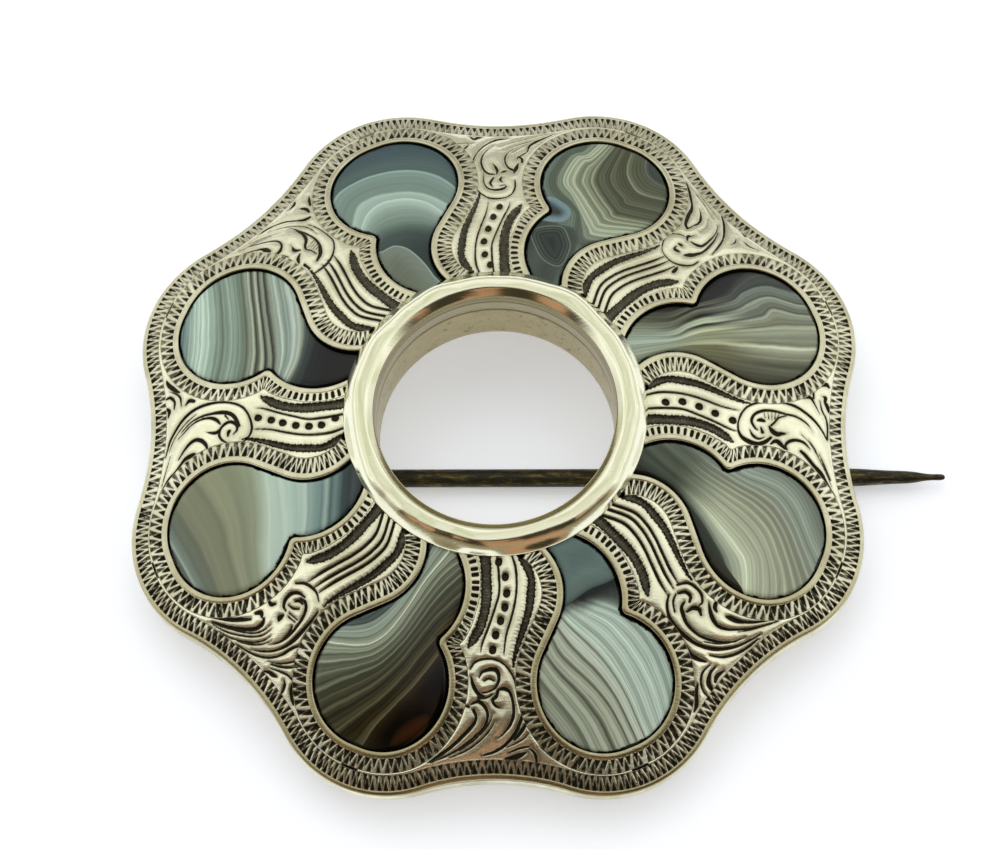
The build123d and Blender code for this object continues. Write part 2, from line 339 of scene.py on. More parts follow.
def zigzag(phase, across, width, chance, count):
    """How far inside a rocked chisel cut a place of a row lies, in millimetres, and the same for soot.

    Phase counts the pitches along the row, and across runs from 0 at the lip to 1. One wedge a pitch is
    broad and black at the lip, the next stands half a pitch on, longer and brighter, broad at the far side.
    Where the row is narrow, one oblong cut a pitch is left.
    """
    lean, girth, shift, reach = (chance.normal(0, spread, count) for spread in CUT_SPREADS)
    narrow = 1 - smooth_step(width, OBLONG_BELOW, WEDGES_ABOVE)
    oblong = np.clip(1 - np.abs(2 * across - 0.95) ** OBLONG_POWER, 0, 1)
    to_end = np.minimum(across, 1 - across) * width * 0.8 + 0.01

    def wedge(offset, from_root, root, length, pivot, oblong_share):
        """A triangle that narrows from its root, blended into an oblong, and leaning about a pivot."""
        index = np.floor(phase + offset).astype(int) % count
        tilt = (lean[index] + CUT_LEAN) * (1 - 0.8 * narrow)
        place = phase + offset - np.floor(phase + offset) - 0.5
        place = place + shift[index] + tilt * (across - pivot)
        taper = np.clip(1 - from_root / (length + reach[index]), 0, 1)
        half = root * (1 + girth[index])
        half = half * (taper * (1 - narrow) + oblong_share * oblong * narrow)
        inside = (half - np.abs(place)) * WEDGE_PITCH
        return np.where(half > LEAST_HALF, np.minimum(inside, to_end), CLEAN)

    black = wedge(0.0, across, *BLACK_WEDGE)
    bright = wedge(0.5, 1 - across, *BRIGHT_WEDGE)
    return np.maximum(black, bright), np.maximum(black, np.minimum(bright, BRIGHT_CUT))


def cut_depth(inside):
    """Depth of a V-shaped cut from how far inside it a place lies."""
    return np.clip(inside * CUT_SLOPE, 0, WEDGE_DEPTH)


def relax(line, first, last, rounds=1500):
    """Evens out the stretch of a line between two of its points."""
    stretch = line[first:last + 1]
    for _ in range(rounds):
        stretch[1:-1] = (stretch[:-2] + stretch[2:]) / 2
    return line


def moved_out(points, normals, distance):
    """The line moved to its right by a distance, with the fold at the cusp drawn out into a fan."""
    moved = points + normals * distance[:, None]
    near = np.linalg.norm(moved[:, None] - points[None, ::3], axis=-1).min(1)
    folded = np.flatnonzero(near < distance - 0.015)
    if len(folded):
        margin = int(0.35 / PATH_STEP)
        relax(moved, folded[0] - margin, folded[-1] + margin)
    return moved


def to_runs(places, start, run):
    """For places and runs of a line: the share of the run at its nearest point, and the gap from there."""
    place = places[..., None, :]
    share = np.clip(((place - start) * run).sum(-1) / np.maximum((run * run).sum(-1), 1e-12), 0, 1)
    return share, place - start - share[..., None] * run


def signed_distance(places, start, run):
    """Distance of a row of places from the nearest run of a line, positive on its left."""
    gap = to_runs(places, start, run)[1]
    away = np.linalg.norm(gap, axis=-1)
    nearest, which = away.argmin(-1), np.arange(len(places))
    cross = run[nearest, 0] * gap[which, nearest, 1] - run[nearest, 1] * gap[which, nearest, 0]
    return np.where(cross < 0, -1, 1) * away[which, nearest]


# Engraved borders

path, path_along, path_marks = stone_path()
path_out = right_of(path)
outline, outline_along = frame_path()
outline_out = right_of(outline, closed=True)


def stone_zigzag_width(along):
    """Width of the row of cuts: broad along the front, middling round the head, narrow down the tail."""
    stops = [
        (0, 0.96), (path_marks["head"], 0.94), (path_marks["front"], 0.82), (path_marks["front"] + 3, 0.88),
        (path_marks["cusp"] - 0.3, 0.76), (path_marks["tail"] + 0.6, 0.74), (path_marks["tail"] + 2.2, 0.54),
        (path_along[-1], 0.54),
    ]
    places, widths = zip(*stops)
    return np.interp(along, places, widths)


# Sections of a border before and after its row of cuts: distance outwards and height
STONE_INNER = [(0.0, -0.9), (0.0, -0.08), (0.04, 0.0), (0.1, 0.03), (0.2, 0.045), (0.3, 0.04),
               (0.355, 0.015), (0.375, 0.0), (LIP_WIDTH, -0.005)]
STONE_OUTER = [(0.01, 0.0), (OUTER_EDGE, 0.0), (OUTER_EDGE + 0.01, -0.7)]
stone_edge_out = LIP_WIDTH + OUTER_EDGE + stone_zigzag_width(path_along)
stone_outer = moved_out(path, path_out, stone_edge_out)


def border_rows(width, inner, outer, phase, chance, count):
    """Rows of a border: distance from its first line, height, how deep in a cut, and 1 on the lip.

    The height is the lip's, then minus the depth of the cuts, then the flat edge's.
    """
    ones = np.ones(len(width))
    shares = np.linspace(0.02, 0.98, ZIGZAG_ROWS)[:, None]
    places = [np.broadcast_to(values, (ZIGZAG_ROWS, len(width))) for values in (phase, shares, width)]
    inside, soot = zigzag(*places, chance, count)
    lip_end = inner[-1][0]
    away = [out * ones for out, _ in inner]
    away += [*(lip_end + shares * width), *(lip_end + width + out for out, _ in outer)]
    height = [*(high * ones for _, high in inner), *-cut_depth(inside), *(high * ones for _, high in outer)]
    lip_shade = [(CLEAN if high > -0.05 else DARK_FOOT) * ones for _, high in inner]
    edge_shade = [(FAINT_LINE if high > -0.025 else 0.0) * ones for _, high in outer]
    lip = [ones] * len(inner) + [0 * ones] * (ZIGZAG_ROWS + len(outer))
    return np.array(away), np.array(height), np.array([*lip_shade, *soot, *edge_shade]), np.array(lip)


def stone_border(number, degrees):
    """Closed strip round a stone: each row lies a share of the way from the stone's edge to its end."""
    chance = np.random.default_rng(100 + number)
    columns = int(path_along[-1] / WEDGE_PITCH) * STONE_COLUMNS + 1
    places = np.linspace(0, path_along[-1], columns)
    width = stone_zigzag_width(places)
    tail = smooth_step(places, path_marks["cusp"], path_marks["tail"] + 1.5)
    pitch = WEDGE_PITCH + (TAIL_PITCH - WEDGE_PITCH) * tail
    phase = np.concatenate([[0], np.cumsum(np.diff(places) / pitch[1:])])
    wedges = int(phase[-1]) + 2
    away, height, shade, lip = border_rows(width, STONE_INNER, STONE_OUTER, phase, chance, wedges)
    edge, outer = sampled(path, path_along, places), sampled(stone_outer, path_along, places)
    share = away / away[-1]
    flat = spun(edge + (outer - edge) * share[..., None], degrees)
    points = np.concatenate([flat, (front_height(flat) + height)[..., None]], -1).reshape(-1, 3)
    rows = len(away)
    faces = grid_faces(rows, columns, close_rows=True)[:, ::-1]
    ends = [np.arange(rows) * columns, (np.arange(rows) * columns + columns - 1)[::-1]]
    make_piece(f"stone_border_{number}", points, faces, "frame", engraved, "silver_engraved", ends,
               cut=shade, lip=lip)


RIM_INNER = [(0.0, -0.045), (0.03, -0.02), (0.08, 0.01), (0.14, 0.02), (0.2, 0.015), (0.24, 0.0),
             (RIM_LIP, -0.01)]
RIM_OUTER = [(0.015, 0.0), (0.025, 0.0), (0.03, -0.7)]
# The rim's wall from its foot up: share of the way down to the foot, and distance inwards
RIM_WALL = [(1.0, SIDE_WALL), (1.0, 0.06), (0.88, 0.02), (0.72, 0.0), (0.55, 0.0), (0.42, 0.05),
            (0.34, 0.12), (0.24, 0.12), (0.18, 0.05), (0.12, 0.02)]


def rim_border():
    """Closed ring round the outline: the wall from its foot up, the lip, the row of cuts and a flat edge.

    Returns the line that the ring ends on inside.
    """
    chance = np.random.default_rng(50)
    wedges = int(round(outline_along[-1] / WEDGE_PITCH))
    columns = wedges * RIM_COLUMNS
    phase = np.arange(columns) / RIM_COLUMNS
    places = phase * outline_along[-1] / wedges
    ring = np.vstack([outline, outline[:1]])
    outward = np.vstack([outline_out, outline_out[:1]])
    edge = sampled(ring, outline_along, places)
    side = sampled(outward, outline_along, places)
    side /= np.linalg.norm(side, axis=1)[:, None]
    lobe = (np.linalg.norm(edge, axis=1) - VALLEY_REACH) / (LOBE_REACH - VALLEY_REACH)
    width = RIM_VALLEY + (RIM_ZIGZAG - RIM_VALLEY) * lobe
    inset, height, shade, lip = border_rows(width, RIM_INNER, RIM_OUTER, phase, chance, wedges)
    spread = LIP_SPREAD - LIP_SPREAD * lobe
    inset[:len(RIM_INNER)] *= 1 + spread
    inset[len(RIM_INNER):] += spread * RIM_LIP
    flat = edge - side * inset[..., None]
    top = front_height(flat) + height
    wall_share, wall_inset = np.array(RIM_WALL).T[..., None] * np.ones(columns)
    wall_flat = edge - side * wall_inset[..., None]
    wall_height = top[0] * (1 - wall_share) + BACK_Z * wall_share
    rub = np.where((wall_share > 0.2) & (wall_share < 0.4), DARK_FOOT, CLEAN)
    high = np.concatenate([wall_height, top])
    points = np.concatenate([np.concatenate([wall_flat, flat]), high[..., None]], -1).reshape(-1, 3)
    faces = grid_faces(len(high), columns, close_rows=True, close_columns=True)
    make_piece("rim_border", points, faces, "frame", engraved, "silver_engraved",
               cut=np.concatenate([rub, shade]), lip=np.concatenate([0 * rub, lip]))
    return edge - side * inset[-1][:, None]


# Engraved fields between the stones

# Lines along an arm, in its own frame: (x, y), or (x, y, half the width) for a cut
CENTRE_LINE = [(9.3, 0.0), (9.8, 0.3), (11, 0.9), (12, 0.95), (13, 0.75), (14, 0.4), (15, 0.05), (16, -0.2)]
UPPER_CHANNEL = [(9.2, 1.5, 0.28), (10, 1.9, 0.28), (11, 2.3, 0.22), (12, 2.28, 0.25), (13, 2.15, 0.22),
                 (14, 1.85, 0.2), (15, 1.5, 0.15), (16, 1.22, 0.08), (16.4, 1.2, 0.02)]
LOWER_CHANNEL = [(9.2, -0.75, 0.33), (10, -0.55, 0.33), (11, -0.5, 0.3), (12, -0.48, 0.32),
                 (13, -0.58, 0.28), (14, -0.88, 0.28), (14.7, -1.28, 0.25), (15.2, -1.6, 0.06)]
DOTTED_LINES = [
    [(9.2, 0.95, 0.05), (9.8, 1.15, 0.06), (10.5, 1.35, 0.07), (11.5, 1.4, 0.06), (12.5, 1.3, 0.06),
     (13.5, 1.05, 0.06), (14.5, 0.75, 0.05), (15.4, 0.62, 0.03), (15.7, 0.6, 0.01)],
    [(9.2, 0.05, 0.05), (10, 0.2, 0.06), (11, 0.3, 0.07), (12, 0.3, 0.06), (13, 0, 0.06), (14, -0.35, 0.06),
     (15, -0.75, 0.05), (15.5, -0.85, 0.01)],
]
# Every other arm has dots between its lines, by how far out they stand. The rest have plain lines, by offset
DOTS = {0: np.linspace(10.9, 15.2, 5), 2: np.linspace(10.3, 15.0, 6), 4: np.linspace(10.3, 15.3, 7),
        6: np.linspace(10.1, 15.4, 7)}
PLAIN_LINES = (0.55, 0.1, -0.45)
# Strokes of each arm's scroll and leaves: (x, y, half the width)
SCROLLS = [
    [
        [(21.45, -0.5, 0.03), (21.2, 0, 0.06), (20.7, 0.6, 0.08), (20, 1.1, 0.08), (19.2, 1.45, 0.08),
         (18.2, 1.55, 0.07), (17.2, 1.4, 0.07), (16.3, 1, 0.06), (15.8, 0.4, 0.06), (15.55, -0.4, 0.06),
         (15.7, -1.1, 0.1), (16.2, -1.45, 0.14), (16.8, -1.55, 0.13), (17.3, -1.35, 0.12),
         (17.7, -1, 0.08)],
        [(20.55, -0.15, 0.01), (20.1, 0.35, 0.05), (19.4, 0.68, 0.06), (18.7, 0.75, 0.06),
         (18, 0.85, 0.07), (17.3, 0.8, 0.09), (16.7, 0.5, 0.09), (16.45, 0, 0.09), (16.65, -0.45, 0.07),
         (16.85, -0.6, 0.03)],
        [(16.85, 0.08, 0.07), (17.1, 0.12, 0.12), (17.3, 0.08, 0.07)],
        [(16.3, -0.6, 0.02), (16.5, -1, 0.08), (16.85, -1.2, 0.06), (17.25, -1.05, 0.03)],
        [(17.05, -0.4, 0.05), (17.15, -0.7, 0.11)],
        [(17.3, 0.65, 0.02), (17.35, 0.3, 0.03)],
        [(17.55, 0.7, 0.02), (17.6, 0.25, 0.03)],
        [(17.8, 0.75, 0.02), (17.8, 0.2, 0.03)],
        [(18.05, 0.75, 0.02), (18, 0.3, 0.03)],
        [(18.3, 0.7, 0.02), (18.15, 0.4, 0.03)],
        [(18.8, 0.65, 0.03), (18.3, 0.45, 0.05), (17.95, 0.05, 0.06), (17.75, -0.15, 0.07)],
        [(17.6, -0.25, 0.06), (17.8, -0.55, 0.15), (18.1, -0.72, 0.15), (18.4, -0.65, 0.1),
         (18.8, -0.6, 0.01)],
        [(17.65, -1.45, 0.04), (18, -1.2, 0.12), (18.3, -1.35, 0.14), (18.6, -1.65, 0.06)],
        [(18.75, -1.7, 0.05), (18.65, -1.4, 0.08), (18.9, -1.1, 0.1), (19.4, -0.95, 0.09),
         (19.9, -1.05, 0.08), (20.3, -1.4, 0.03)],
        [(19.65, -1.65, 0.08), (20, -1.95, 0.12), (20.5, -2.5, 0.12), (21, -3, 0.14), (21.4, -3.7, 0.1),
         (21.9, -4.4, 0.03)],
        [(19.7, -0.45, 0.01), (20.3, -1, 0.03), (20.8, -1.8, 0.03), (21.3, -2.8, 0.03),
         (21.7, -3.8, 0.01)],
        [(20.9, -1.6, 0.02), (21.2, -2.3, 0.05), (21.6, -3.3, 0.04)],
        [(20.2, -0.7, 0.01), (20.6, -1.3, 0.03), (21, -2.2, 0.02)],
        [(20, 2.1, 0.05), (20.2, 2.25, 0.15), (20.5, 2.15, 0.09), (20.75, 1.75, 0.05),
         (21.05, 1.2, 0.02)],
        [(21.1, 2.1, 0.03), (21.2, 1.5, 0.05), (21.45, 1, 0.05), (21.55, 0.4, 0.06), (21.5, -0.5, 0.06)],
        [(21.15, 3.2, 0.08), (21.55, 3.35, 0.14), (21.75, 3.2, 0.08)],
        [(21.3, 2.45, 0.03), (21.5, 2.4, 0.1), (21.45, 2.1, 0.1), (21.6, 1.8, 0.13), (21.7, 1.5, 0.1)],
        [(20.65, 2.65, 0.08), (20.68, 2.2, 0.06)],
    ],
    [
        [(21.65, 0.4, 0.05), (21.3, -0.1, 0.08), (20.8, -0.6, 0.09), (20.2, -1.05, 0.07),
         (19.4, -1.35, 0.07), (18.6, -1.5, 0.04)],
        [(18.25, 0.4, 0.03), (18.1, 0.9, 0.05), (17.7, 1.3, 0.05), (17.2, 1.4, 0.08), (16.7, 1.2, 0.05),
         (16.2, 0.8, 0.04), (16, 0.2, 0.05), (16.05, -0.4, 0.06), (16.4, -0.95, 0.07), (16.9, -1.3, 0.06),
         (17.4, -1.35, 0.05)],
        [(17.2, 0.45, 0.04), (16.9, 0.35, 0.09), (16.95, 0.1, 0.1), (17, -0.05, 0.04)],
        [(17.45, 0.45, 0.08), (17.5, 0.25, 0.1)],
        [(17.05, -0.4, 0.06), (17.3, -0.6, 0.15), (17.6, -0.8, 0.13), (18.2, -1, 0.08),
         (18.9, -0.95, 0.08), (19.6, -0.8, 0.06), (20.3, -0.5, 0.03)],
        [(18.1, 0.3, 0.05), (18.35, 0.5, 0.1), (18.6, 0.35, 0.05), (18.9, 0.3, 0.01)],
        [(18.2, 0.1, 0.04), (18.3, -0.3, 0.09), (18.5, -0.6, 0.1), (19, -0.65, 0.08), (19.7, -0.55, 0.06),
         (20.3, -0.35, 0.04), (20.8, 0, 0.02)],
        [(18.85, 1, 0.1), (19, 1.3, 0.1), (19.4, 1.55, 0.13), (19.8, 1.75, 0.14), (20.2, 1.9, 0.12),
         (20.6, 2.2, 0.08), (21, 2.7, 0.09), (21.4, 3.2, 0.09), (21.8, 3.9, 0.05)],
        [(18.85, 0.95, 0.05), (19.3, 0.9, 0.05), (19.7, 0.82, 0.08), (20.1, 0.95, 0.09),
         (20.5, 1.3, 0.06), (20.8, 1.7, 0.02)],
        [(18.2, 1.55, 0.06), (18.4, 1.52, 0.1), (18.65, 1.5, 0.05)],
        [(20.9, 0.6, 0.01), (21.3, 1.6, 0.03), (21.6, 2.8, 0.03), (21.8, 3.8, 0.02)],
        [(21.2, 0.4, 0.01), (21.5, 1.4, 0.03), (21.75, 2.6, 0.02)],
        [(19.4, 0.3, 0.01), (20, 0.3, 0.02), (20.6, 0.75, 0.01)],
        [(21.8, -1.25, 0.05), (21.72, -1.7, 0.12)],
        [(21.2, -2, 0.03), (21.22, -2.5, 0.06), (21.4, -2.95, 0.03)],
        [(15.5, -0.88, 0.12), (15.75, -0.85, 0.12), (16, -0.8, 0.05)],
        [(20.2, -1.7, 0.02), (20.6, -1.75, 0.06), (20.95, -1.55, 0.02)],
    ],
    [
        [(21.4, -0.6, 0.03), (21.3, 0.1, 0.09), (21, 0.6, 0.07), (20.5, 1.1, 0.06), (19.8, 1.5, 0.05),
         (19.1, 1.7, 0.06), (18.2, 1.65, 0.05), (17.3, 1.55, 0.04), (16.6, 1.4, 0.04), (16.1, 1, 0.05),
         (15.75, 0.4, 0.07), (15.8, -0.4, 0.06), (16.1, -0.9, 0.05), (16.7, -1.15, 0.07),
         (17.4, -1.15, 0.04)],
        [(16.85, -0.6, 0.05), (16.6, -0.35, 0.1), (16.5, 0.2, 0.08), (16.7, 0.7, 0.06),
         (17.3, 0.95, 0.05), (18.1, 0.95, 0.03)],
        [(16.8, 0.35, 0.04), (17.1, 0.5, 0.09), (17.4, 0.4, 0.08), (17.65, 0.25, 0.04)],
        [(17.2, -0.3, 0.03), (17.4, -0.15, 0.09), (17.65, -0.25, 0.05)],
        [(16.95, -0.5, 0.05), (16.9, -0.2, 0.04)],
        [(17.9, 0.2, 0.05), (17.95, 0.6, 0.08), (18.3, 0.95, 0.08), (19, 1.15, 0.07), (19.7, 1.05, 0.06),
         (20.2, 0.75, 0.04), (20.6, 0.35, 0.01)],
        [(17.85, 0.1, 0.03), (18.2, 0.05, 0.09), (18.5, 0.15, 0.1), (18.9, 0.35, 0.01)],
        [(18.05, -0.2, 0.04), (18.15, -0.4, 0.08), (18.2, -0.65, 0.03)],
        [(18.3, -0.95, 0.1), (18.5, -0.7, 0.08), (18.9, -0.5, 0.06), (19.4, -0.45, 0.06),
         (19.9, -0.65, 0.04), (20.2, -0.95, 0.01)],
        [(18, -1.05, 0.05), (18.4, -1.2, 0.14), (18.9, -1.35, 0.05)],
        [(19, -1.6, 0.08), (19.3, -1.6, 0.09), (19.5, -1.35, 0.07), (19.25, -1.25, 0.03)],
        [(19.6, -1.5, 0.05), (19.9, -1.85, 0.06)],
        [(20, -1.95, 0.05), (20.6, -2.1, 0.09), (21, -2.5, 0.11), (21.4, -3.1, 0.07), (21.8, -3.7, 0.03)],
        [(20.1, -0.4, 0.01), (20.6, -1.1, 0.03), (21, -2, 0.03)],
        [(20.5, -0.1, 0.01), (21, -1, 0.03), (21.4, -2.1, 0.03), (21.8, -3.2, 0.02)],
        [(19.9, -0.95, 0.01), (20.3, -1.35, 0.03), (20.7, -1.9, 0.01)],
        [(20.15, 2.8, 0.03), (20.2, 2.5, 0.06), (20.5, 2.2, 0.07), (20.75, 2.05, 0.04)],
        [(20.9, 2.9, 0.03), (20.95, 2.2, 0.05), (20.9, 1.8, 0.02)],
        [(21.05, 3, 0.04), (21.4, 3.4, 0.07), (21.75, 3.9, 0.05)],
        [(21.6, 1.95, 0.06), (21.35, 1.7, 0.1), (21.5, 1.45, 0.12), (21.55, 1.15, 0.04)],
    ],
    [
        [(15.85, 1.1, 0.06), (15.75, 0.3, 0.09), (15.9, -0.4, 0.08), (16.2, -0.9, 0.06),
         (16.7, -1.35, 0.06), (17.3, -1.5, 0.05), (18.4, -1.48, 0.05), (19.2, -1.3, 0.03)],
        [(19.6, -1.8, 0.08), (19.75, -1.4, 0.12), (20.2, -1, 0.06), (20.8, -0.5, 0.06), (21.2, 0.1, 0.05),
         (21.45, 0.7, 0.07), (21.5, 1.2, 0.02)],
        [(16.5, 0.35, 0.09), (16.7, -0.1, 0.14), (16.95, -0.35, 0.14), (17.3, -0.6, 0.1),
         (17.9, -0.75, 0.08), (18.6, -0.7, 0.07), (19.3, -0.55, 0.05), (20, -0.35, 0.03)],
        [(16.95, 0, 0.05), (17.4, 0.05, 0.05), (17.8, 0.2, 0.07), (18.1, 0, 0.1), (18.4, -0.35, 0.12),
         (18.9, -0.5, 0.1), (19.5, -0.4, 0.03)],
        [(17.2, -0.05, 0.02), (17.3, -0.5, 0.03)],
        [(17.4, 0, 0.02), (17.5, -0.55, 0.03)],
        [(17.6, 0.05, 0.02), (17.7, -0.6, 0.03)],
        [(17.8, 0.1, 0.02), (17.9, -0.6, 0.03)],
        [(16.4, 1.1, 0.07), (16.9, 1.12, 0.11)],
        [(17.35, 1.25, 0.08), (17.65, 1.05, 0.12), (17.85, 0.7, 0.05)],
        [(18.05, 0.5, 0.05), (18.35, 0.75, 0.13), (18.7, 0.65, 0.05), (18.95, 0.55, 0.01)],
        [(18.3, 1.4, 0.06), (18.7, 1.6, 0.11)],
        [(19.15, 1.9, 0.1), (19.15, 1.4, 0.12), (19.4, 1, 0.08), (19.8, 0.9, 0.08), (20.2, 1.1, 0.06),
         (20.7, 1.6, 0.05), (21.3, 2.4, 0.03)],
        [(19.7, 1.8, 0.1), (19.95, 1.9, 0.2), (20.3, 2, 0.1), (20.6, 2.3, 0.06), (21.1, 3, 0.04)],
        [(18.2, -1.15, 0.02), (19, -1.1, 0.04), (19.8, -0.7, 0.04), (20.5, -0.1, 0.03), (21, 0.6, 0.01)],
        [(20.6, 0.9, 0.01), (21.1, 1.8, 0.03), (21.5, 2.9, 0.03)],
        [(20.3, 0.3, 0.01), (20.9, 1.1, 0.03), (21.4, 2.1, 0.02)],
        [(20, -2.05, 0.08), (20.4, -2.1, 0.14), (20.8, -1.9, 0.05)],
        [(20.4, -2.5, 0.08), (20.8, -2.75, 0.1), (21.1, -3, 0.04)],
        [(21.4, -1.4, 0.04), (21.45, -1.9, 0.1), (21.6, -2.1, 0.05)],
    ],
    [
        [(21.65, 1.6, 0.04), (21.4, 0.6, 0.07), (21.1, 0, 0.08), (20.6, -0.7, 0.09), (19.9, -1.25, 0.1),
         (19, -1.55, 0.09), (18, -1.6, 0.08), (17.1, -1.4, 0.07), (16.4, -1, 0.07), (15.95, -0.3, 0.07),
         (15.75, 0.5, 0.08), (15.95, 1.1, 0.06), (16.4, 1.45, 0.04)],
        [(17.3, 1.35, 0.03), (17.7, 1.1, 0.07), (17.95, 0.7, 0.08), (17.85, 0.25, 0.08),
         (17.5, -0.05, 0.09), (17.15, -0.1, 0.1), (16.8, 0.15, 0.1), (16.75, 0.5, 0.07), (17, 0.8, 0.03)],
        [(17.35, 0.85, 0.06), (17.32, 0.6, 0.11), (17.2, 0.5, 0.06)],
        [(16.6, 0.25, 0.08), (16.85, -0.25, 0.12), (17.2, -0.65, 0.13), (17.8, -0.85, 0.12),
         (18.6, -0.85, 0.08), (19.3, -0.75, 0.06), (20, -0.45, 0.05), (20.6, 0.1, 0.03)],
        [(17.9, 0.3, 0.05), (18.1, 0.5, 0.1), (18.4, 0.5, 0.08), (18.9, 0.35, 0.01)],
        [(17.9, -0.05, 0.05), (18.2, -0.4, 0.11), (18.7, -0.6, 0.09), (19.3, -0.55, 0.06),
         (19.9, -0.3, 0.05), (20.4, 0.15, 0.04), (20.8, 0.5, 0.02)],
        [(18.7, 1.75, 0.05), (18.8, 1.3, 0.1), (19.1, 0.95, 0.13), (19.5, 0.8, 0.12), (19.9, 0.95, 0.1),
         (20.3, 1.35, 0.07), (20.7, 1.95, 0.03)],
        [(19.55, 1.75, 0.06), (19.8, 1.85, 0.15), (20.2, 2, 0.12), (20.5, 2.3, 0.08), (20.9, 2.8, 0.07),
         (21.3, 3.2, 0.1), (21.7, 3.9, 0.1), (21.9, 4.3, 0.05)],
        [(19.6, -1, 0.02), (20.3, -0.5, 0.04), (21, 0.3, 0.03), (21.4, 1.2, 0.02)],
        [(17.35, -0.3, 0.04), (17.6, -0.6, 0.05)],
        [(19.8, -1.95, 0.1), (20.1, -2.05, 0.13), (20.4, -1.8, 0.04)],
        [(20.7, -1.8, 0.04), (20.8, -2.4, 0.07), (21.15, -2.75, 0.05), (21.6, -3, 0.02)],
        [(21.2, -1.7, 0.05), (21.2, -2.2, 0.08), (21.5, -2.55, 0.1), (21.8, -2.5, 0.05)],
        [(21.6, -1.2, 0.05), (21.55, -1.6, 0.12), (21.7, -1.8, 0.08)],
        [(20.9, -2.8, 0.06), (21.3, -3.1, 0.14), (21.7, -3.5, 0.13), (21.85, -3.8, 0.04)],
        [(21.3, 1.6, 0.01), (21.55, 2.6, 0.03), (21.8, 3.6, 0.02)],
    ],
    [
        [(16.9, 1.15, 0.05), (17.6, 1.2, 0.08), (18.4, 1.2, 0.12), (19.2, 1.15, 0.12), (19.8, 0.98, 0.08),
         (20.4, 0.6, 0.06), (20.9, 0.05, 0.05), (21.3, -0.6, 0.02)],
        [(19, 1.75, 0.05), (19.6, 1.4, 0.08), (20.2, 1.2, 0.07), (20.8, 0.75, 0.06), (21.2, 0.15, 0.06),
         (21.5, -0.6, 0.05), (21.7, -1.6, 0.03)],
        [(20.4, 0.05, 0.01), (19.9, 0.48, 0.05), (19.3, 0.72, 0.06), (18.5, 0.74, 0.07),
         (17.8, 0.65, 0.08), (17.25, 0.4, 0.09), (17, 0.05, 0.08), (17.05, -0.3, 0.06)],
        [(16.4, 0.75, 0.02), (16.1, 0.1, 0.07), (16.2, -0.7, 0.08), (16.6, -1.2, 0.06)],
        [(16.82, -0.15, 0.05), (16.88, -0.6, 0.09), (17.2, -0.95, 0.11), (17.7, -1, 0.1),
         (18.1, -0.8, 0.08), (18.2, -0.5, 0.05)],
        [(17.2, 0.05, 0.05), (17.2, -0.25, 0.09), (17.4, -0.45, 0.06)],
        [(17.55, 0.1, 0.04), (17.78, -0.2, 0.06), (17.85, -0.6, 0.04)],
        [(18.1, 0.5, 0.03), (18.15, -0.2, 0.04)],
        [(18.3, 0.45, 0.03), (18.35, -0.1, 0.04)],
        [(18.5, -0.42, 0.06), (18.75, -0.48, 0.15), (18.95, -0.42, 0.05)],
        [(18.6, 0.5, 0.05), (19, 0.62, 0.07), (19.5, 0.6, 0.04)],
        [(19.9, -0.15, 0.01), (20.4, -0.35, 0.04), (20.9, -0.8, 0.04), (21.3, -1.4, 0.04),
         (21.7, -2.2, 0.04), (21.9, -3, 0.02)],
        [(19.6, -0.4, 0.01), (20.2, -0.6, 0.04), (20.7, -1.05, 0.04), (21.2, -1.8, 0.04),
         (21.6, -2.6, 0.04), (21.9, -3.6, 0.02)],
        [(19.4, -0.62, 0.01), (20, -0.78, 0.04), (20.5, -1.15, 0.04), (21, -1.9, 0.04),
         (21.5, -2.9, 0.03), (22, -4, 0.01)],
        [(20.1, 0.1, 0.01), (20.7, -0.35, 0.04), (21.2, -1, 0.04), (21.55, -1.7, 0.02)],
        [(19.45, -1.25, 0.05), (19.8, -1.1, 0.12), (20.3, -1.3, 0.12), (20.8, -1.9, 0.1),
         (21.3, -2.7, 0.09), (21.8, -3.8, 0.05)],
        [(20.05, -1.9, 0.06), (20.4, -2.3, 0.12), (20.9, -2.9, 0.12), (21.4, -3.7, 0.1),
         (21.8, -4.4, 0.04)],
        [(19.5, -1.4, 0.05), (19.35, -1.65, 0.14), (19.6, -1.9, 0.08)],
        [(18.35, -1.3, 0.05), (18.55, -1.5, 0.12), (18.5, -1.8, 0.08)],
        [(20.05, 2.5, 0.03), (20.45, 2.1, 0.06), (20.8, 1.6, 0.06), (21.1, 1, 0.04)],
        [(19.8, 2.25, 0.03), (20.3, 1.85, 0.05), (20.75, 1.35, 0.04), (21.1, 0.7, 0.02)],
        [(20.85, 2.95, 0.04), (20.85, 2.3, 0.06), (21.05, 1.7, 0.05), (21.3, 1.1, 0.02)],
        [(21.2, 2.35, 0.03), (21.4, 2.6, 0.08), (21.8, 2.75, 0.06), (22.1, 2.65, 0.03)],
        [(21.35, 1.85, 0.04), (21.45, 1.55, 0.12), (21.5, 1.25, 0.1), (21.65, 0.95, 0.05)],
        [(21, 2.95, 0.05), (21.3, 3.15, 0.15), (21.6, 3.5, 0.13), (21.85, 3.85, 0.05)],
    ],
    [
        [(18.5, 1.85, 0.03), (19, 1.8, 0.09), (19.6, 1.6, 0.1), (20.2, 1.3, 0.11), (20.8, 0.75, 0.09),
         (21.2, 0.1, 0.08), (21.45, -0.7, 0.05)],
        [(17.8, 1.42, 0.02), (17, 1.2, 0.05), (16.3, 0.7, 0.05), (15.95, 0.1, 0.06), (15.9, -0.6, 0.06),
         (16.1, -1.2, 0.06), (16.5, -1.5, 0.04)],
        [(16.95, -1.45, 0.05), (17.5, -1.3, 0.11), (18, -0.95, 0.11), (18.12, -0.6, 0.05)],
        [(17, -0.95, 0.03), (16.68, -0.75, 0.07), (16.52, -0.3, 0.11), (16.55, 0.1, 0.12),
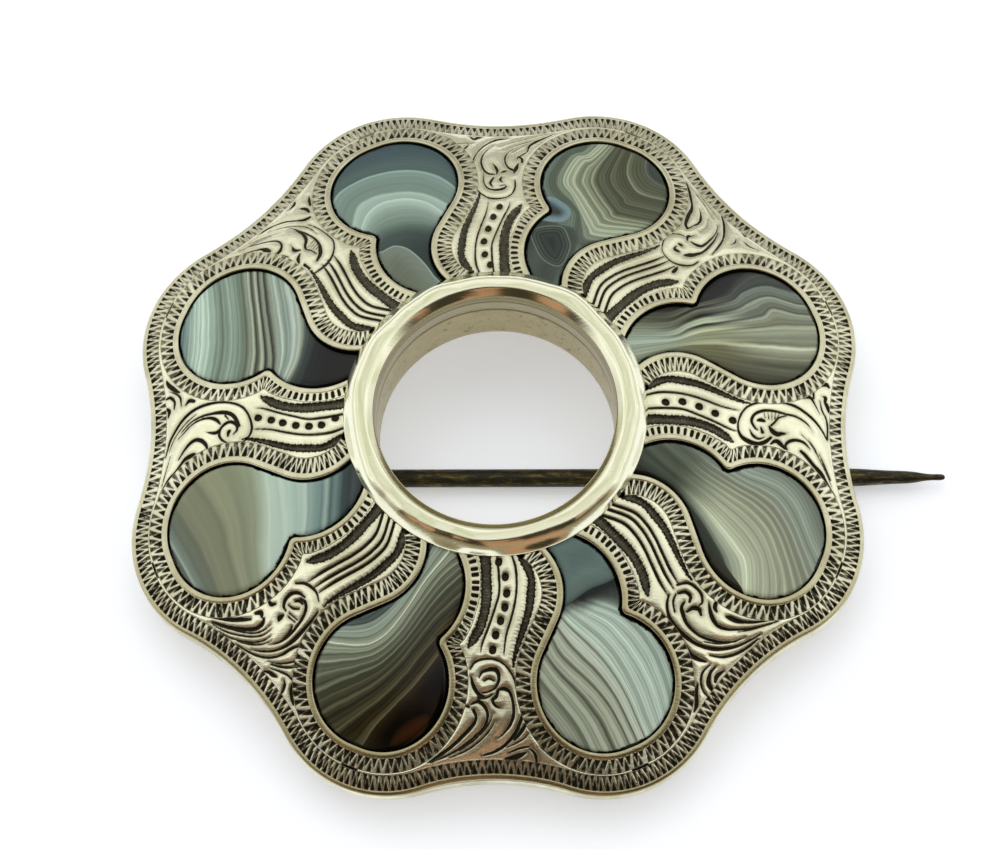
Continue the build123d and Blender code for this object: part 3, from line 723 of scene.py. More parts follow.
         (16.85, 0.28, 0.11), (17.25, 0.25, 0.08), (17.6, 0.05, 0.06), (17.82, -0.35, 0.05),
         (17.9, -0.75, 0.05)],
        [(17.2, 0, 0.04), (17.05, -0.35, 0.06), (17.2, -0.65, 0.04)],
        [(17.7, 0.25, 0.06), (17.65, 0.6, 0.11), (17.85, 0.95, 0.09), (18.4, 1.15, 0.08),
         (19.1, 1.2, 0.09), (19.7, 1, 0.09), (20.2, 0.6, 0.05), (20.5, 0.2, 0.02)],
        [(17.8, 0.22, 0.08), (18.1, 0.12, 0.1), (18.35, -0.12, 0.08), (18.65, 0.08, 0.07),
         (18.8, 0.4, 0.02)],
        [(18, -0.15, 0.05), (18.18, -0.5, 0.05), (18.2, -1, 0.08)],
        [(19.1, -0.1, 0.01), (19.7, -0.35, 0.04), (20.2, -0.8, 0.04), (20.7, -1.4, 0.04),
         (21.2, -2.2, 0.02)],
        [(19.6, 0, 0.01), (20.1, -0.35, 0.04), (20.7, -1, 0.04), (21.2, -1.8, 0.04), (21.6, -2.8, 0.02)],
        [(18.55, -1.45, 0.05), (18.4, -1, 0.1), (18.7, -0.6, 0.1), (19.2, -0.42, 0.08),
         (19.8, -0.6, 0.07), (20.3, -1.1, 0.07), (20.9, -1.9, 0.07), (21.4, -2.8, 0.05),
         (21.9, -4, 0.02)],
        [(18.9, -1.3, 0.1), (19.3, -1.15, 0.08), (19.7, -1.3, 0.1), (20.3, -1.9, 0.11), (20.9, -2.6, 0.1),
         (21.5, -3.5, 0.09), (21.9, -4.2, 0.03)],
        [(18.7, -1.6, 0.07), (18.6, -1.95, 0.04)],
        [(19.55, 2.05, 0.07), (20.1, 1.7, 0.1), (20.6, 1.25, 0.05)],
        [(20.2, 2.15, 0.03), (20.5, 1.85, 0.04), (20.8, 1.3, 0.04), (21, 0.8, 0.02)],
        [(20.95, 2.85, 0.05), (21.3, 3.4, 0.13), (21.7, 3.9, 0.06)],
        [(21.1, 2.2, 0.03), (21.35, 2.5, 0.08), (21.8, 2.62, 0.07), (22.1, 2.6, 0.03)],
        [(21.3, 1.95, 0.05), (21.45, 1.6, 0.14), (21.58, 1.2, 0.16), (21.65, 0.7, 0.08)],
        [(20.95, 2.2, 0.04), (21.08, 1.5, 0.06), (21.3, 0.9, 0.03)],
    ],
    [
        [(15.95, 0.25, 0.05), (16.3, 0.85, 0.08), (16.9, 1.05, 0.08), (17.4, 1, 0.08), (17.75, 0.7, 0.06),
         (17.75, 0.35, 0.03)],
        [(16.05, -0.6, 0.06), (16.4, -1.1, 0.08), (17, -1.5, 0.1), (17.8, -1.65, 0.14),
         (18.6, -1.55, 0.12), (19.4, -1.3, 0.1), (20.1, -0.8, 0.12), (20.6, -0.2, 0.1), (21, 0.5, 0.08),
         (21.3, 1.4, 0.06), (21.5, 2.2, 0.03)],
        [(16.35, -0.05, 0.07), (16.6, 0.35, 0.1), (17, 0.4, 0.1), (17.2, 0.12, 0.07)],
        [(16.3, -0.2, 0.04), (16.5, -0.65, 0.06), (17, -1.02, 0.05)],
        [(17, -0.15, 0.05), (17.1, -0.5, 0.1), (17.5, -0.75, 0.12), (18, -0.95, 0.1), (18.6, -0.95, 0.08),
         (19.2, -0.8, 0.07), (19.9, -0.35, 0.08), (20.4, 0.15, 0.06), (20.8, 0.7, 0.03)],
        [(17.5, -0.45, 0.05), (17.6, 0, 0.12), (17.9, 0.25, 0.13), (18.25, 0.1, 0.06)],
        [(18.05, 1, 0.03), (18.4, 0.75, 0.1), (18.9, 0.5, 0.12), (19.4, 0.45, 0.1), (19.9, 0.75, 0.08),
         (20.3, 1.2, 0.06), (20.8, 1.9, 0.06), (21.3, 2.8, 0.05), (21.7, 3.7, 0.03)],
        [(18.35, 1.35, 0.1), (18.5, 1.1, 0.13), (18.75, 1, 0.05)],
        [(19.35, 1.25, 0.05), (19.6, 1.4, 0.14), (19.95, 1.6, 0.14), (20.3, 1.9, 0.09), (20.8, 2.5, 0.07),
         (21.3, 3.3, 0.04)],
        [(19.5, -0.9, 0.01), (20.1, -0.35, 0.04), (20.6, 0.4, 0.04), (21, 1.3, 0.02)],
        [(20.3, -1.2, 0.03), (20.9, -0.6, 0.07), (21.3, 0.2, 0.08), (21.5, 1, 0.08), (21.6, 1.9, 0.04)],
        [(20.5, 1.2, 0.01), (21, 2.1, 0.04), (21.5, 3.2, 0.02)],
        [(19, -2, 0.1), (19.5, -2.1, 0.15), (20, -1.9, 0.12), (20.4, -1.65, 0.05)],
        [(20.7, -1.6, 0.03), (20.7, -2.2, 0.06), (21, -2.7, 0.07), (21.5, -3, 0.05), (21.9, -3, 0.03)],
        [(21, -1.4, 0.05), (21.05, -1.9, 0.09), (21.4, -2.4, 0.14), (21.8, -2.5, 0.1), (22, -2.4, 0.04)],
        [(21.5, -1.15, 0.05), (21.45, -1.7, 0.13), (21.6, -2, 0.08)],
        [(21, -3, 0.05), (21.3, -3.4, 0.1), (21.8, -3.9, 0.12), (22, -4.3, 0.05)],
    ],
]


def smooth_line(table, parts=7):
    """A cubic through the rows of a table, with each point's slope that of its two neighbours' chord."""
    table = np.array(table, float)
    padded = np.vstack([2 * table[0] - table[1], table, 2 * table[-1] - table[-2]])
    slope = (padded[2:] - padded[:-2]) / 2
    t = np.linspace(0, 1, parts, endpoint=False)[None, :, None]
    line = (2 * t**3 - 3 * t**2 + 1) * table[:-1, None] + (t**3 - 2 * t**2 + t) * slope[:-1, None]
    line = line + (3 * t**2 - 2 * t**3) * table[1:, None] + (t**3 - t**2) * slope[1:, None]
    return np.vstack([line.reshape(-1, table.shape[1]), table[-1:]])


field_x = np.arange(FIELD_START, FIELD_END, FIELD_STEP)
field_y = np.arange(-FIELD_SIDE, FIELD_SIDE, FIELD_STEP)
field_flat = np.stack(np.meshgrid(field_x, field_y, indexing="ij"), -1)


def press(inside, line, margin=0.55):
    """Raises inside to how far each place lies within a tapering stroke, below 0 where it lies outside."""
    low, high = line[:, :2].min(0) - margin, line[:, :2].max(0) + margin
    corner = field_flat[0, 0]
    i0, j0 = np.maximum(((low - corner) / FIELD_STEP).astype(int), 0)
    i1, j1 = ((high - corner) / FIELD_STEP).astype(int) + 2
    share, gap = to_runs(field_flat[i0:i1, j0:j1], line[:-1, :2], np.diff(line[:, :2], axis=0))
    half = line[:-1, 2] + share * np.diff(line[:, 2])
    within = (half - np.linalg.norm(gap, axis=-1)).max(-1)
    inside[i0:i1, j0:j1] = np.maximum(inside[i0:i1, j0:j1], within)


def distance_outside(line, side):
    """Distance of the field's places from a line, positive on its right for side 1, on its left for -1."""
    line = line[::6]
    near_start, near_end, near_side = 8.4, 24.0, 10.0
    keep = (line[:, 0] > near_start) & (line[:, 0] < near_end) & (np.abs(line[:, 1]) < near_side)
    start, run = line[:-1][keep[:-1]], np.diff(line, axis=0)[keep[:-1]]
    # One row of the grid at a time, which keeps the arrays small
    return -side * np.array([signed_distance(places, start, run) for places in field_flat])


def field_domain(rim_line):
    """Which cells lie between the borders, and the distance of each place from the nearest border."""
    half = STEP_DEG / 2
    away = distance_outside(rim_line, -1)
    for degrees in (half, -half):
        away = np.minimum(away, distance_outside(spun(stone_outer, degrees), 1))
    away = np.minimum(away, np.linalg.norm(field_flat, axis=-1) - (RING_RADIUS - RING_LAP))
    inside = away > -FIELD_OVERLAP
    cells = inside[:-1, :-1] & inside[1:, :-1] & inside[:-1, 1:] & inside[1:, 1:]
    x, y = np.moveaxis(field_flat[:-1, :-1], -1, 0)
    wedge = np.abs(y) < np.tan(math.radians(half)) * x - ARM_GAP
    return joined_to_middle(cells & wedge), away


def joined_to_middle(cells):
    """Only the cells joined to the one in the middle of the arm."""
    reached = np.zeros_like(cells)
    reached[tuple(((ARM_MIDDLE - field_flat[0, 0]) / FIELD_STEP).astype(int))] = True
    while True:
        grown = reached.copy()
        grown[1:] |= reached[:-1]
        grown[:-1] |= reached[1:]
        grown[:, 1:] |= reached[:, :-1]
        grown[:, :-1] |= reached[:, 1:]
        grown &= cells
        if (grown == reached).all():
            return grown
        reached = grown


def field_edges(cells):
    """Faces of the kept cells, and the field's boundary as one ring of vertex numbers in order.

    An edge that no other face has the other way round lies on the boundary. Where two corners of the patch
    meet, the ring takes the step furthest to the left, and so stays with its own cell.
    """
    i, j = np.nonzero(cells)
    columns = cells.shape[1] + 1
    corner = i * columns + j
    faces = np.stack([corner, corner + columns, corner + columns + 1, corner + 1], -1)
    pairs = np.concatenate([faces[:, [k, (k + 1) % 4]] for k in range(4)]).astype(np.int64)
    most = corner.max() + columns + 2
    single = ~np.isin(pairs[:, 0] * most + pairs[:, 1], pairs[:, 1] * most + pairs[:, 0])
    follow = {}
    for a, b in pairs[single]:
        follow.setdefault(a, []).append(b)
    start = pairs[single][0, 0]
    ring, before, here = [start], None, start
    while True:
        options = follow[here]
        turns = [0] if before is None else [turn(before, here, option, columns) for option in options]
        step = options.pop(int(np.argmin(turns)))
        if step == start and not follow[start]:
            return faces, np.array(ring)
        ring.append(step)
        before, here = here, step


def turn(before, here, after, columns):
    """Turn between two steps over the grid: 1 to the right, 0 straight on and -1 to the left."""
    a = np.array(divmod(here, columns)) - divmod(before, columns)
    b = np.array(divmod(after, columns)) - divmod(here, columns)
    return a[1] * b[0] - a[0] * b[1]


def dotted_lines(cuts, number, chance):
    """Two fine lines along an arm, and between them a row of round dots that stray a little."""
    for table in DOTTED_LINES:
        press(cuts, smooth_line(table))
    centre_x, centre_y = np.array(CENTRE_LINE).T
    for x in DOTS[number]:
        x = x + chance.normal(0, 0.05)
        y = np.interp(x, centre_x, centre_y) - DOT_DROP + chance.normal(0, 0.03)
        press(cuts, np.array([(x - 0.04, y, DOT_RADIUS), (x + 0.04, y - 0.02, DOT_RADIUS)]))


def plain_lines(cuts):
    """Three plain lines along an arm, each tapering at its outer end."""
    centre = np.array(CENTRE_LINE)
    half = np.full((len(centre), 1), PLAIN_HALF)
    half[-1] = 0.02
    for offset in PLAIN_LINES:
        press(cuts, smooth_line(np.hstack([centre + (0, offset), half])))


def arm_field(number, faces, ring, away):
    """Engraved sheet between two stones: the front's height, plus a swell between the cuts, less the cuts.

    The channels' edges are torn by two sine waves. The sheet ends in walls down to a sloping underside.
    """
    chance = np.random.default_rng(300 + number)
    cuts, channels = np.full(away.shape, FAR_OUTSIDE), np.full(away.shape, FAR_OUTSIDE)
    for table in (UPPER_CHANNEL, LOWER_CHANNEL):
        press(channels, smooth_line(table))
    x, y = np.moveaxis(field_flat, -1, 0)
    channels += CHANNEL_TEAR * (np.sin(17 * x + 6 * y + number) + np.sin(29 * x - 7 * y + 2 * number))
    if number in DOTS:
        dotted_lines(cuts, number, chance)
    else:
        plain_lines(cuts)
    for table in SCROLLS[number]:
        press(cuts, smooth_line(table))
    free = np.minimum(np.maximum(-np.maximum(cuts, channels), 0), np.maximum(away, 0))
    swell = PILLOW * (1 - np.exp(-free / PILLOW_REACH)) - 0.005
    groove = np.clip(cuts * CUT_SLOPE, 0, GROOVE_DEPTH) + np.clip(channels * CHANNEL_SLOPE, 0, CHANNEL_DEPTH)
    edge = FIELD_SINK * (1 - smooth_step(away, -0.06, 0.0))
    flat = field_flat.reshape(-1, 2)
    high = front_height(flat) + (swell - groove - edge).ravel()
    used = np.unique(faces)
    renumber = np.full(len(flat), -1)
    renumber[used] = np.arange(len(used))
    top = np.column_stack([flat[used], high[used]])
    low = np.column_stack([flat[ring], UNDERSIDE_Z - UNDERSIDE_SLOPE * (flat[ring, 0] - UNDERSIDE_X)])
    points = np.vstack([top, low])
    points[:, :2] = spun(points[:, :2], number * STEP_DEG)
    upper, lower = renumber[ring], len(top) + np.arange(len(ring))
    after = np.roll(np.arange(len(ring)), -1)
    walls = np.stack([upper, lower, lower[after], upper[after]], -1)
    shade = np.maximum(cuts, CHANNEL_SOOT_HALF - np.abs(channels - CHANNEL_SOOT)).ravel()[used]
    ground = np.clip(channels / 0.1, 0, 1).ravel()[used]
    wall_shade = np.full(len(ring), 0.05)
    make_piece(f"arm_field_{number + 1}", points, np.vstack([renumber[faces], walls]), "frame", engraved,
               "silver_engraved", [lower[::-1]], cut=np.concatenate([shade, wall_shade]),
               ground=np.concatenate([ground, 0 * wall_shade]),
               along=np.concatenate([flat[used, 0], flat[ring, 0]]))


# Tube and ring in the middle

def turned(name, profile, columns, node, finish, slot, wave=None):
    """A closed profile of radius and height carried round the axis, and a wave of both added by angle."""
    profile = np.array(profile, float)
    angle = np.arange(columns) / columns * math.tau
    radius, height = profile.T[..., None] * np.ones(columns)
    if wave is not None:
        more_radius, more_height = wave(profile, angle)
        radius, height = radius + more_radius, height + more_height
    points = np.stack([radius * np.cos(angle), radius * np.sin(angle), height], -1).reshape(-1, 3)
    faces = grid_faces(len(profile), columns, close_rows=True, close_columns=True)
    make_piece(name, points, faces, node, finish, slot)


def tube_profile():
    """Bore tube from its upper end down the inside to the flared foot and up the outside."""
    inner = [(BORE_RADIUS, z) for z in np.linspace(SEAM_Z, 0, 12)]
    flare = [(BORE_RADIUS + BORE_FLARE * t**1.6, BACK_Z * t) for t in np.linspace(0.1, 1, 8)]
    outer = [(TUBE_RADIUS, z) for z in (BACK_Z, 0, SEAM_Z)]
    return inner + flare + outer + [(BORE_RADIUS + 0.1, SEAM_Z + 0.02)]


# The ring's foot, the scored line in its bore, and its section from there over the top: radius and drop
RING_FOOT = SEAM_Z + 0.03
SCORE_Z = 4.86
SCORE_HALF = 0.06
SCORE_DEPTH = 0.05
RING_SECTION = [(7.74, 0.55), (7.78, 0.46), (7.88, 0.36), (8.05, 0.2), (8.18, 0.09), (8.3, 0.02),
                (8.45, 0.0), (8.7, 0.0), (8.88, 0.015), (9.0, 0.07), (9.12, 0.16), (9.26, 0.3),
                (9.42, 0.5), (9.57, 0.69), (9.68, 0.84)]


def ring_profile():
    """Ring section: up the bore, round a tight inner edge, over a near-flat top, down a sloping face."""
    spring = math.sqrt(DOME_RADIUS**2 - RING_RADIUS**2) - math.sqrt(DOME_RADIUS**2 - FOOT_RADIUS**2)
    crest = spring + RING_CREST
    bore = [(BORE_RADIUS, RING_FOOT), (BORE_RADIUS, 4.2), (BORE_RADIUS, SCORE_Z - SCORE_HALF),
            (BORE_RADIUS + SCORE_DEPTH, SCORE_Z), (BORE_RADIUS, SCORE_Z + SCORE_HALF), (BORE_RADIUS, 5.3)]
    over = [(radius, crest - drop) for radius, drop in RING_SECTION]
    outer = [(RING_RADIUS, spring + 0.03), (RING_RADIUS, spring - 0.25)]
    under = [(RING_RADIUS - 0.6, spring - 0.3), (BORE_RADIUS + 0.6, RING_FOOT)]
    return smooth_line(bore + over + outer, 2).tolist() + under


def ring_wave(profile, angle):
    """Hammered facets: the break between top and slope wanders by angle, and the slope swells and sinks."""
    radius, height = profile.T[..., None]
    out = smooth_step(radius, 8.1, 8.8) * smooth_step(height, 4.9, 5.2)
    foot = 1 - smooth_step(radius, 9.4, RING_RADIUS)
    flats = np.abs(((angle * 19 / math.tau + 0.2 * np.sin(3 * angle)) % 1) - 0.5) * 2
    slow = 0.6 * np.sin(7 * angle + 0.6) + 0.4 * np.sin(12 * angle + 2.1) + 0.5 * np.sin(4 * angle + 4.0)
    more_radius = out * (0.05 * (flats - 0.5) * (0.4 + 0.6 * foot) + 0.09 * slow * foot)
    return more_radius, out * foot * (0.03 * slow + 0.03 * (flats - 0.5))


# Materials

class Value:
    """A socket in an expression: each operator adds its Math node."""

    def __init__(self, tree, socket):
        self.tree, self.socket = tree, socket

    def math(self, operation, *others, flip=False):
        node = self.tree.nodes.new("ShaderNodeMath")
        node.operation = operation
        terms = [self, *others]
        for place, term in enumerate(reversed(terms) if flip else terms):
            feed(self.tree, node.inputs[place], term)
        return Value(self.tree, node.outputs[0])

    def __add__(self, other):
        return self.math("ADD", other)

    def __sub__(self, other):
        return self.math("SUBTRACT", other)

    def __rsub__(self, other):
        return self.math("SUBTRACT", other, flip=True)

    def __mul__(self, other):
        return self.math("MULTIPLY", other)

    def __truediv__(self, other):
        return self.math("DIVIDE", other)

    def __pow__(self, other):
        return self.math("POWER", other)

    __radd__, __rmul__ = __add__, __mul__

    def sine(self):
        return self.math("SINE")

    def at_most(self, other):
        return self.math("MINIMUM", other)

    def at_least(self, other):
        return self.math("MAXIMUM", other)

    def held(self):
        """The value kept between 0 and 1."""
        return self.at_least(0.0).at_most(1.0)

    def rise(self, low, high):
        """0 below low, 1 above high, smooth between."""
        node = self.tree.nodes.new("ShaderNodeMapRange")
        node.interpolation_type = "SMOOTHSTEP"
        feed(self.tree, node.inputs[0], self)
        node.inputs[1].default_value, node.inputs[2].default_value = low, high
        return Value(self.tree, node.outputs[0])


def feed(tree, socket, value):
    """Links a value's socket, or sets the number, colour or vector."""
    if isinstance(value, Value):
        tree.links.new(value.socket, socket)
    else:
        socket.default_value = value


class Nodes:
    """A material's or a world's nodes: one method for any node, and one for each that recurs."""

    def __init__(self, tree):
        self.tree = tree
        tree.nodes.clear()

    def node(self, kind, sockets=None, out=0, **settings):
        """Adds a node of a kind: its settings first, then its sockets by name or number."""
        node = self.tree.nodes.new("ShaderNode" + kind)
        for key, value in settings.items():
            setattr(node, key, value)
        for key, value in (sockets or {}).items():
            feed(self.tree, node.inputs[key], value)
        return Value(self.tree, node.outputs[out])

    def ramp(self, value, stops):
        """Colour by value through stops of (place, colour), straight between them."""
        node = self.tree.nodes.new("ShaderNodeValToRGB")
        node.color_ramp.interpolation = "LINEAR"
        marks = node.color_ramp.elements
        while len(marks) < len(stops):
            marks.new(0.5)
        for mark, (place, colour) in zip(marks, stops):
            mark.position = place
            mark.color = (*colour, 1)
        feed(self.tree, node.inputs[0], value)
        return Value(self.tree, node.outputs[0])

    def mix(self, share, a, b):
        """Colour a turned into b by share."""
        a, b = (c if isinstance(c, Value) else (*c, 1) for c in (a, b))
        return self.node("Mix", {0: share, 6: a, 7: b}, out=2, data_type="RGBA")

    def scaled(self, colour, level):
        """Colour made brighter or darker by a level."""
        return self.node("VectorMath", {0: colour, 3: level}, operation="SCALE")

    def place(self, degrees=0.0):
        """Object coordinates in millimetres, turned back about the axis."""
        spot = self.node("TexCoord", out=3)
        return self.node("Mapping", {"Vector": spot, "Scale": (1000, 1000, 1000),
                                     "Rotation": (0, 0, -math.radians(degrees))})

    def part(self, vector, axis):
        """One of a vector's three numbers."""
        return self.node("SeparateXYZ", {0: vector}, out=axis)

    def noise(self, where, scale, detail=2.0, rough=0.5):
        """Cloudy values from 0 to 1, with scale in bumps a millimetre."""
        return self.node("TexNoise", {"Vector": where, "Scale": scale, "Detail": detail, "Roughness": rough})

    def attribute(self, name):
        """Number that the mesh holds by vertex."""
        return self.node("Attribute", out=2, attribute_name=name)

    def scratches(self, where, angle_deg, across, along, seed=0.0):
        """Fine lines in one direction: cloudy values stretched along it."""
        stretched = self.node("Mapping", {"Vector": where, "Rotation": (0, 0, math.radians(angle_deg)),
                                          "Scale": (along, across, along), "Location": (seed, seed, 0)})
        return self.noise(stretched, 1.0, 3.0, 0.6)

    def bump(self, height, depth):
        """Normal of a relief with a depth in millimetres."""
        return self.node("Bump", {"Height": height, "Distance": depth * MM})


class Finish(Nodes):
    """A material with one Principled shader."""

    def __init__(self, name):
        self.material = bpy.data.materials.new(name)
        self.material.use_nodes = True
        super().__init__(self.material.node_tree)
        self.shader = self.tree.nodes.new("ShaderNodeBsdfPrincipled")
        output = self.tree.nodes.new("ShaderNodeOutputMaterial")
        self.tree.links.new(self.shader.outputs[0], output.inputs[0])

    def set(self, **sockets):
        """Sets or links the shader's sockets, with _ for a space."""
        for key, value in sockets.items():
            feed(self.tree, self.shader.inputs[key.replace("_", " ")], value)
        return self.material


# Colours of the metals
SILVER = (0.98, 0.965, 0.75)
SILVER_DULL = (0.62, 0.59, 0.41)
PATINA = (0.018, 0.013, 0.006)
PATINA_GREEN = (0.034, 0.031, 0.020)
OLIVE = (0.30, 0.27, 0.16)
LIP_GOLD = (0.40, 0.345, 0.18)
RING_BRIGHT = (0.91, 0.90, 0.69)
RING_SOFT = (0.80, 0.78, 0.55)
BORE_TAN = (0.34, 0.29, 0.16)
BORE_LIGHT = (0.58, 0.51, 0.30)
BORE_DARK = (0.40, 0.34, 0.18)
BORE_GRIME = (0.16, 0.11, 0.06)
BACK_LIGHT = (0.72, 0.66, 0.50)
BACK_TARNISH = (0.34, 0.27, 0.17)
PIN_DARK = (0.016, 0.014, 0.007)
PIN_BRASS = (0.15, 0.115, 0.035)
HATCH_TURNS = 34.0


def engraved_finish():
    """Warm silver, black in the cuts, dull in hollows, with fine polishing scratches.

    It is duller towards the upper edge of the brooch and darker towards the lower one: painted light and
    shade.
    """
    f = Finish("engraved_silver")
    where = f.place()
    cut, ground = f.attribute("cut"), f.attribute("ground")
    up = f.part(where, 1)
    cloud = f.noise(where, 0.35, 4.0, 0.6)
    grain = f.noise(where, 3.5, 3.0, 0.6)
    # Painted light: towards the top the metal is duller and its cuts less black; painted shade makes the
    # lower part darker
    wear_and_painted_top_light, painted_bottom_shade = up.rise(0.0, 15.0), (up * -1.0).rise(3.0, 17.0)
    # Black patina in the cuts, a little lighter at the top and darker at the bottom as painted light and
    # shade
    patina_and_shade = (cut + (grain - 0.5) * 0.07 - wear_and_painted_top_light * 0.01 + painted_bottom_shade * 0.012).rise(-0.035, 0.018)
    # An olive halo beside the cuts: patina smeared out of them, and painted shade
    patina_and_shade_halo = (cut + (cloud - 0.5) * 0.4).rise(-0.24, 0.0)
    hatch = (f.attribute("along") * HATCH_TURNS + grain * 3.0).sine()
    bed = (ground * (0.72 + 0.6 * grain + 0.05 * hatch)).held()
    soft = (cloud.rise(0.4, 0.7) * 0.4 + wear_and_painted_top_light * 0.42).held()
    # The lip's gold tint, stronger towards the bottom as painted shade
    lip_tint = (f.attribute("lip") * (0.3 + 0.5 * painted_bottom_shade + 0.4 * (grain - 0.5))).held()
    metal = f.mix(soft, SILVER, SILVER_DULL)
    metal = f.mix(patina_and_shade_halo * (0.38 + 0.12 * painted_bottom_shade), metal, OLIVE)
    metal = f.mix(lip_tint, metal, LIP_GOLD)
    # The channels' patina, darker towards the bottom as painted shade
    metal = f.mix(bed * 0.94, metal, f.mix(painted_bottom_shade, PATINA_GREEN, PATINA))
    colour = f.mix(patina_and_shade * (0.97 - 0.03 * wear_and_painted_top_light), metal, PATINA)
    brushed = f.scratches(where, 35, 9, 0.7) + f.scratches(where, -52, 8, 0.6, 3.0)
    bump = f.bump(brushed * 0.5 + grain * 0.4 + hatch * ground * 0.2, 0.014)
    return f.set(Base_Color=colour, Metallic=1.0, Normal=bump,
                 Roughness=0.2 + 0.12 * cloud + 0.35 * patina_and_shade + 0.25 * ground)


def polished_finish():
    """Bright pale silver of the ring, with faint hairlines and soft clouds, and dull inside the bore."""
    f = Finish("polished_silver")
    where = f.place()
    cloud = f.noise(where, 0.3, 3.0)
    hair = f.scratches(where, 20, 7, 0.5)
    x, y, up = (f.part(where, axis) for axis in range(3))
    wall = 1 - ((x * x + y * y) ** 0.5).rise(7.71, 7.79)
    colour = f.mix(cloud.rise(0.4, 0.8) * 0.4, RING_BRIGHT, RING_SOFT)
    colour = f.mix(wall * (0.8 + 0.2 * up.rise(4.6, 5.3)), colour, BORE_TAN)
    return f.set(Base_Color=colour, Metallic=1.0, Roughness=0.1 + 0.08 * cloud + 0.2 * wall,
                 Normal=f.bump(hair, 0.004))


def bore_finish():
    """Matte tan silver of the bore, with grubby marks."""
    f = Finish("bore_silver")
    where = f.place()
    cloud = f.noise(where, 0.8, 4.0, 0.65)
    marks = f.noise(where, 2.2, 4.0, 0.7).rise(0.56, 0.7)
    colour = f.mix(marks * 0.6, f.mix(cloud, BORE_LIGHT, BORE_DARK), BORE_GRIME)
    return f.set(Base_Color=colour, Metallic=1 - 0.5 * marks, Roughness=0.34 + 0.2 * marks,
                 Normal=f.bump(cloud, 0.02))


def back_finish():
    """Plain silver back, with clouds of tarnish and long scratches."""
    f = Finish("back_silver")
    where = f.place()
    cloud = f.noise(where, 0.12, 5.0, 0.6)
    rub = f.scratches(where, 15, 5, 0.25) + f.scratches(where, 70, 5, 0.3, 5.0)
    colour = f.mix(cloud.rise(0.38, 0.7), BACK_LIGHT, BACK_TARNISH)
    return f.set(Base_Color=colour, Metallic=1.0, Roughness=0.28 + 0.2 * cloud, Normal=f.bump(rub, 0.02))


def pin_finish():
    """Near-black olive brass with brassy patches rubbed bare."""
    f = Finish("pin_brass")
    where = f.place()
    long_cloud = f.node("Mapping", {"Vector": where, "Scale": (0.5, 2.2, 2.2)})
    wear_and_painted_top_light = f.noise(long_cloud, 1.6, 5.0, 0.7).rise(0.46, 0.68)
    return f.set(Base_Color=f.mix(wear_and_painted_top_light, PIN_DARK, PIN_BRASS), Metallic=0.5 + 0.5 * wear_and_painted_top_light,
                 Roughness=0.42 - 0.15 * wear_and_painted_top_light, Normal=f.bump(f.noise(where, 4.0, 3.0), 0.03))


# Agates

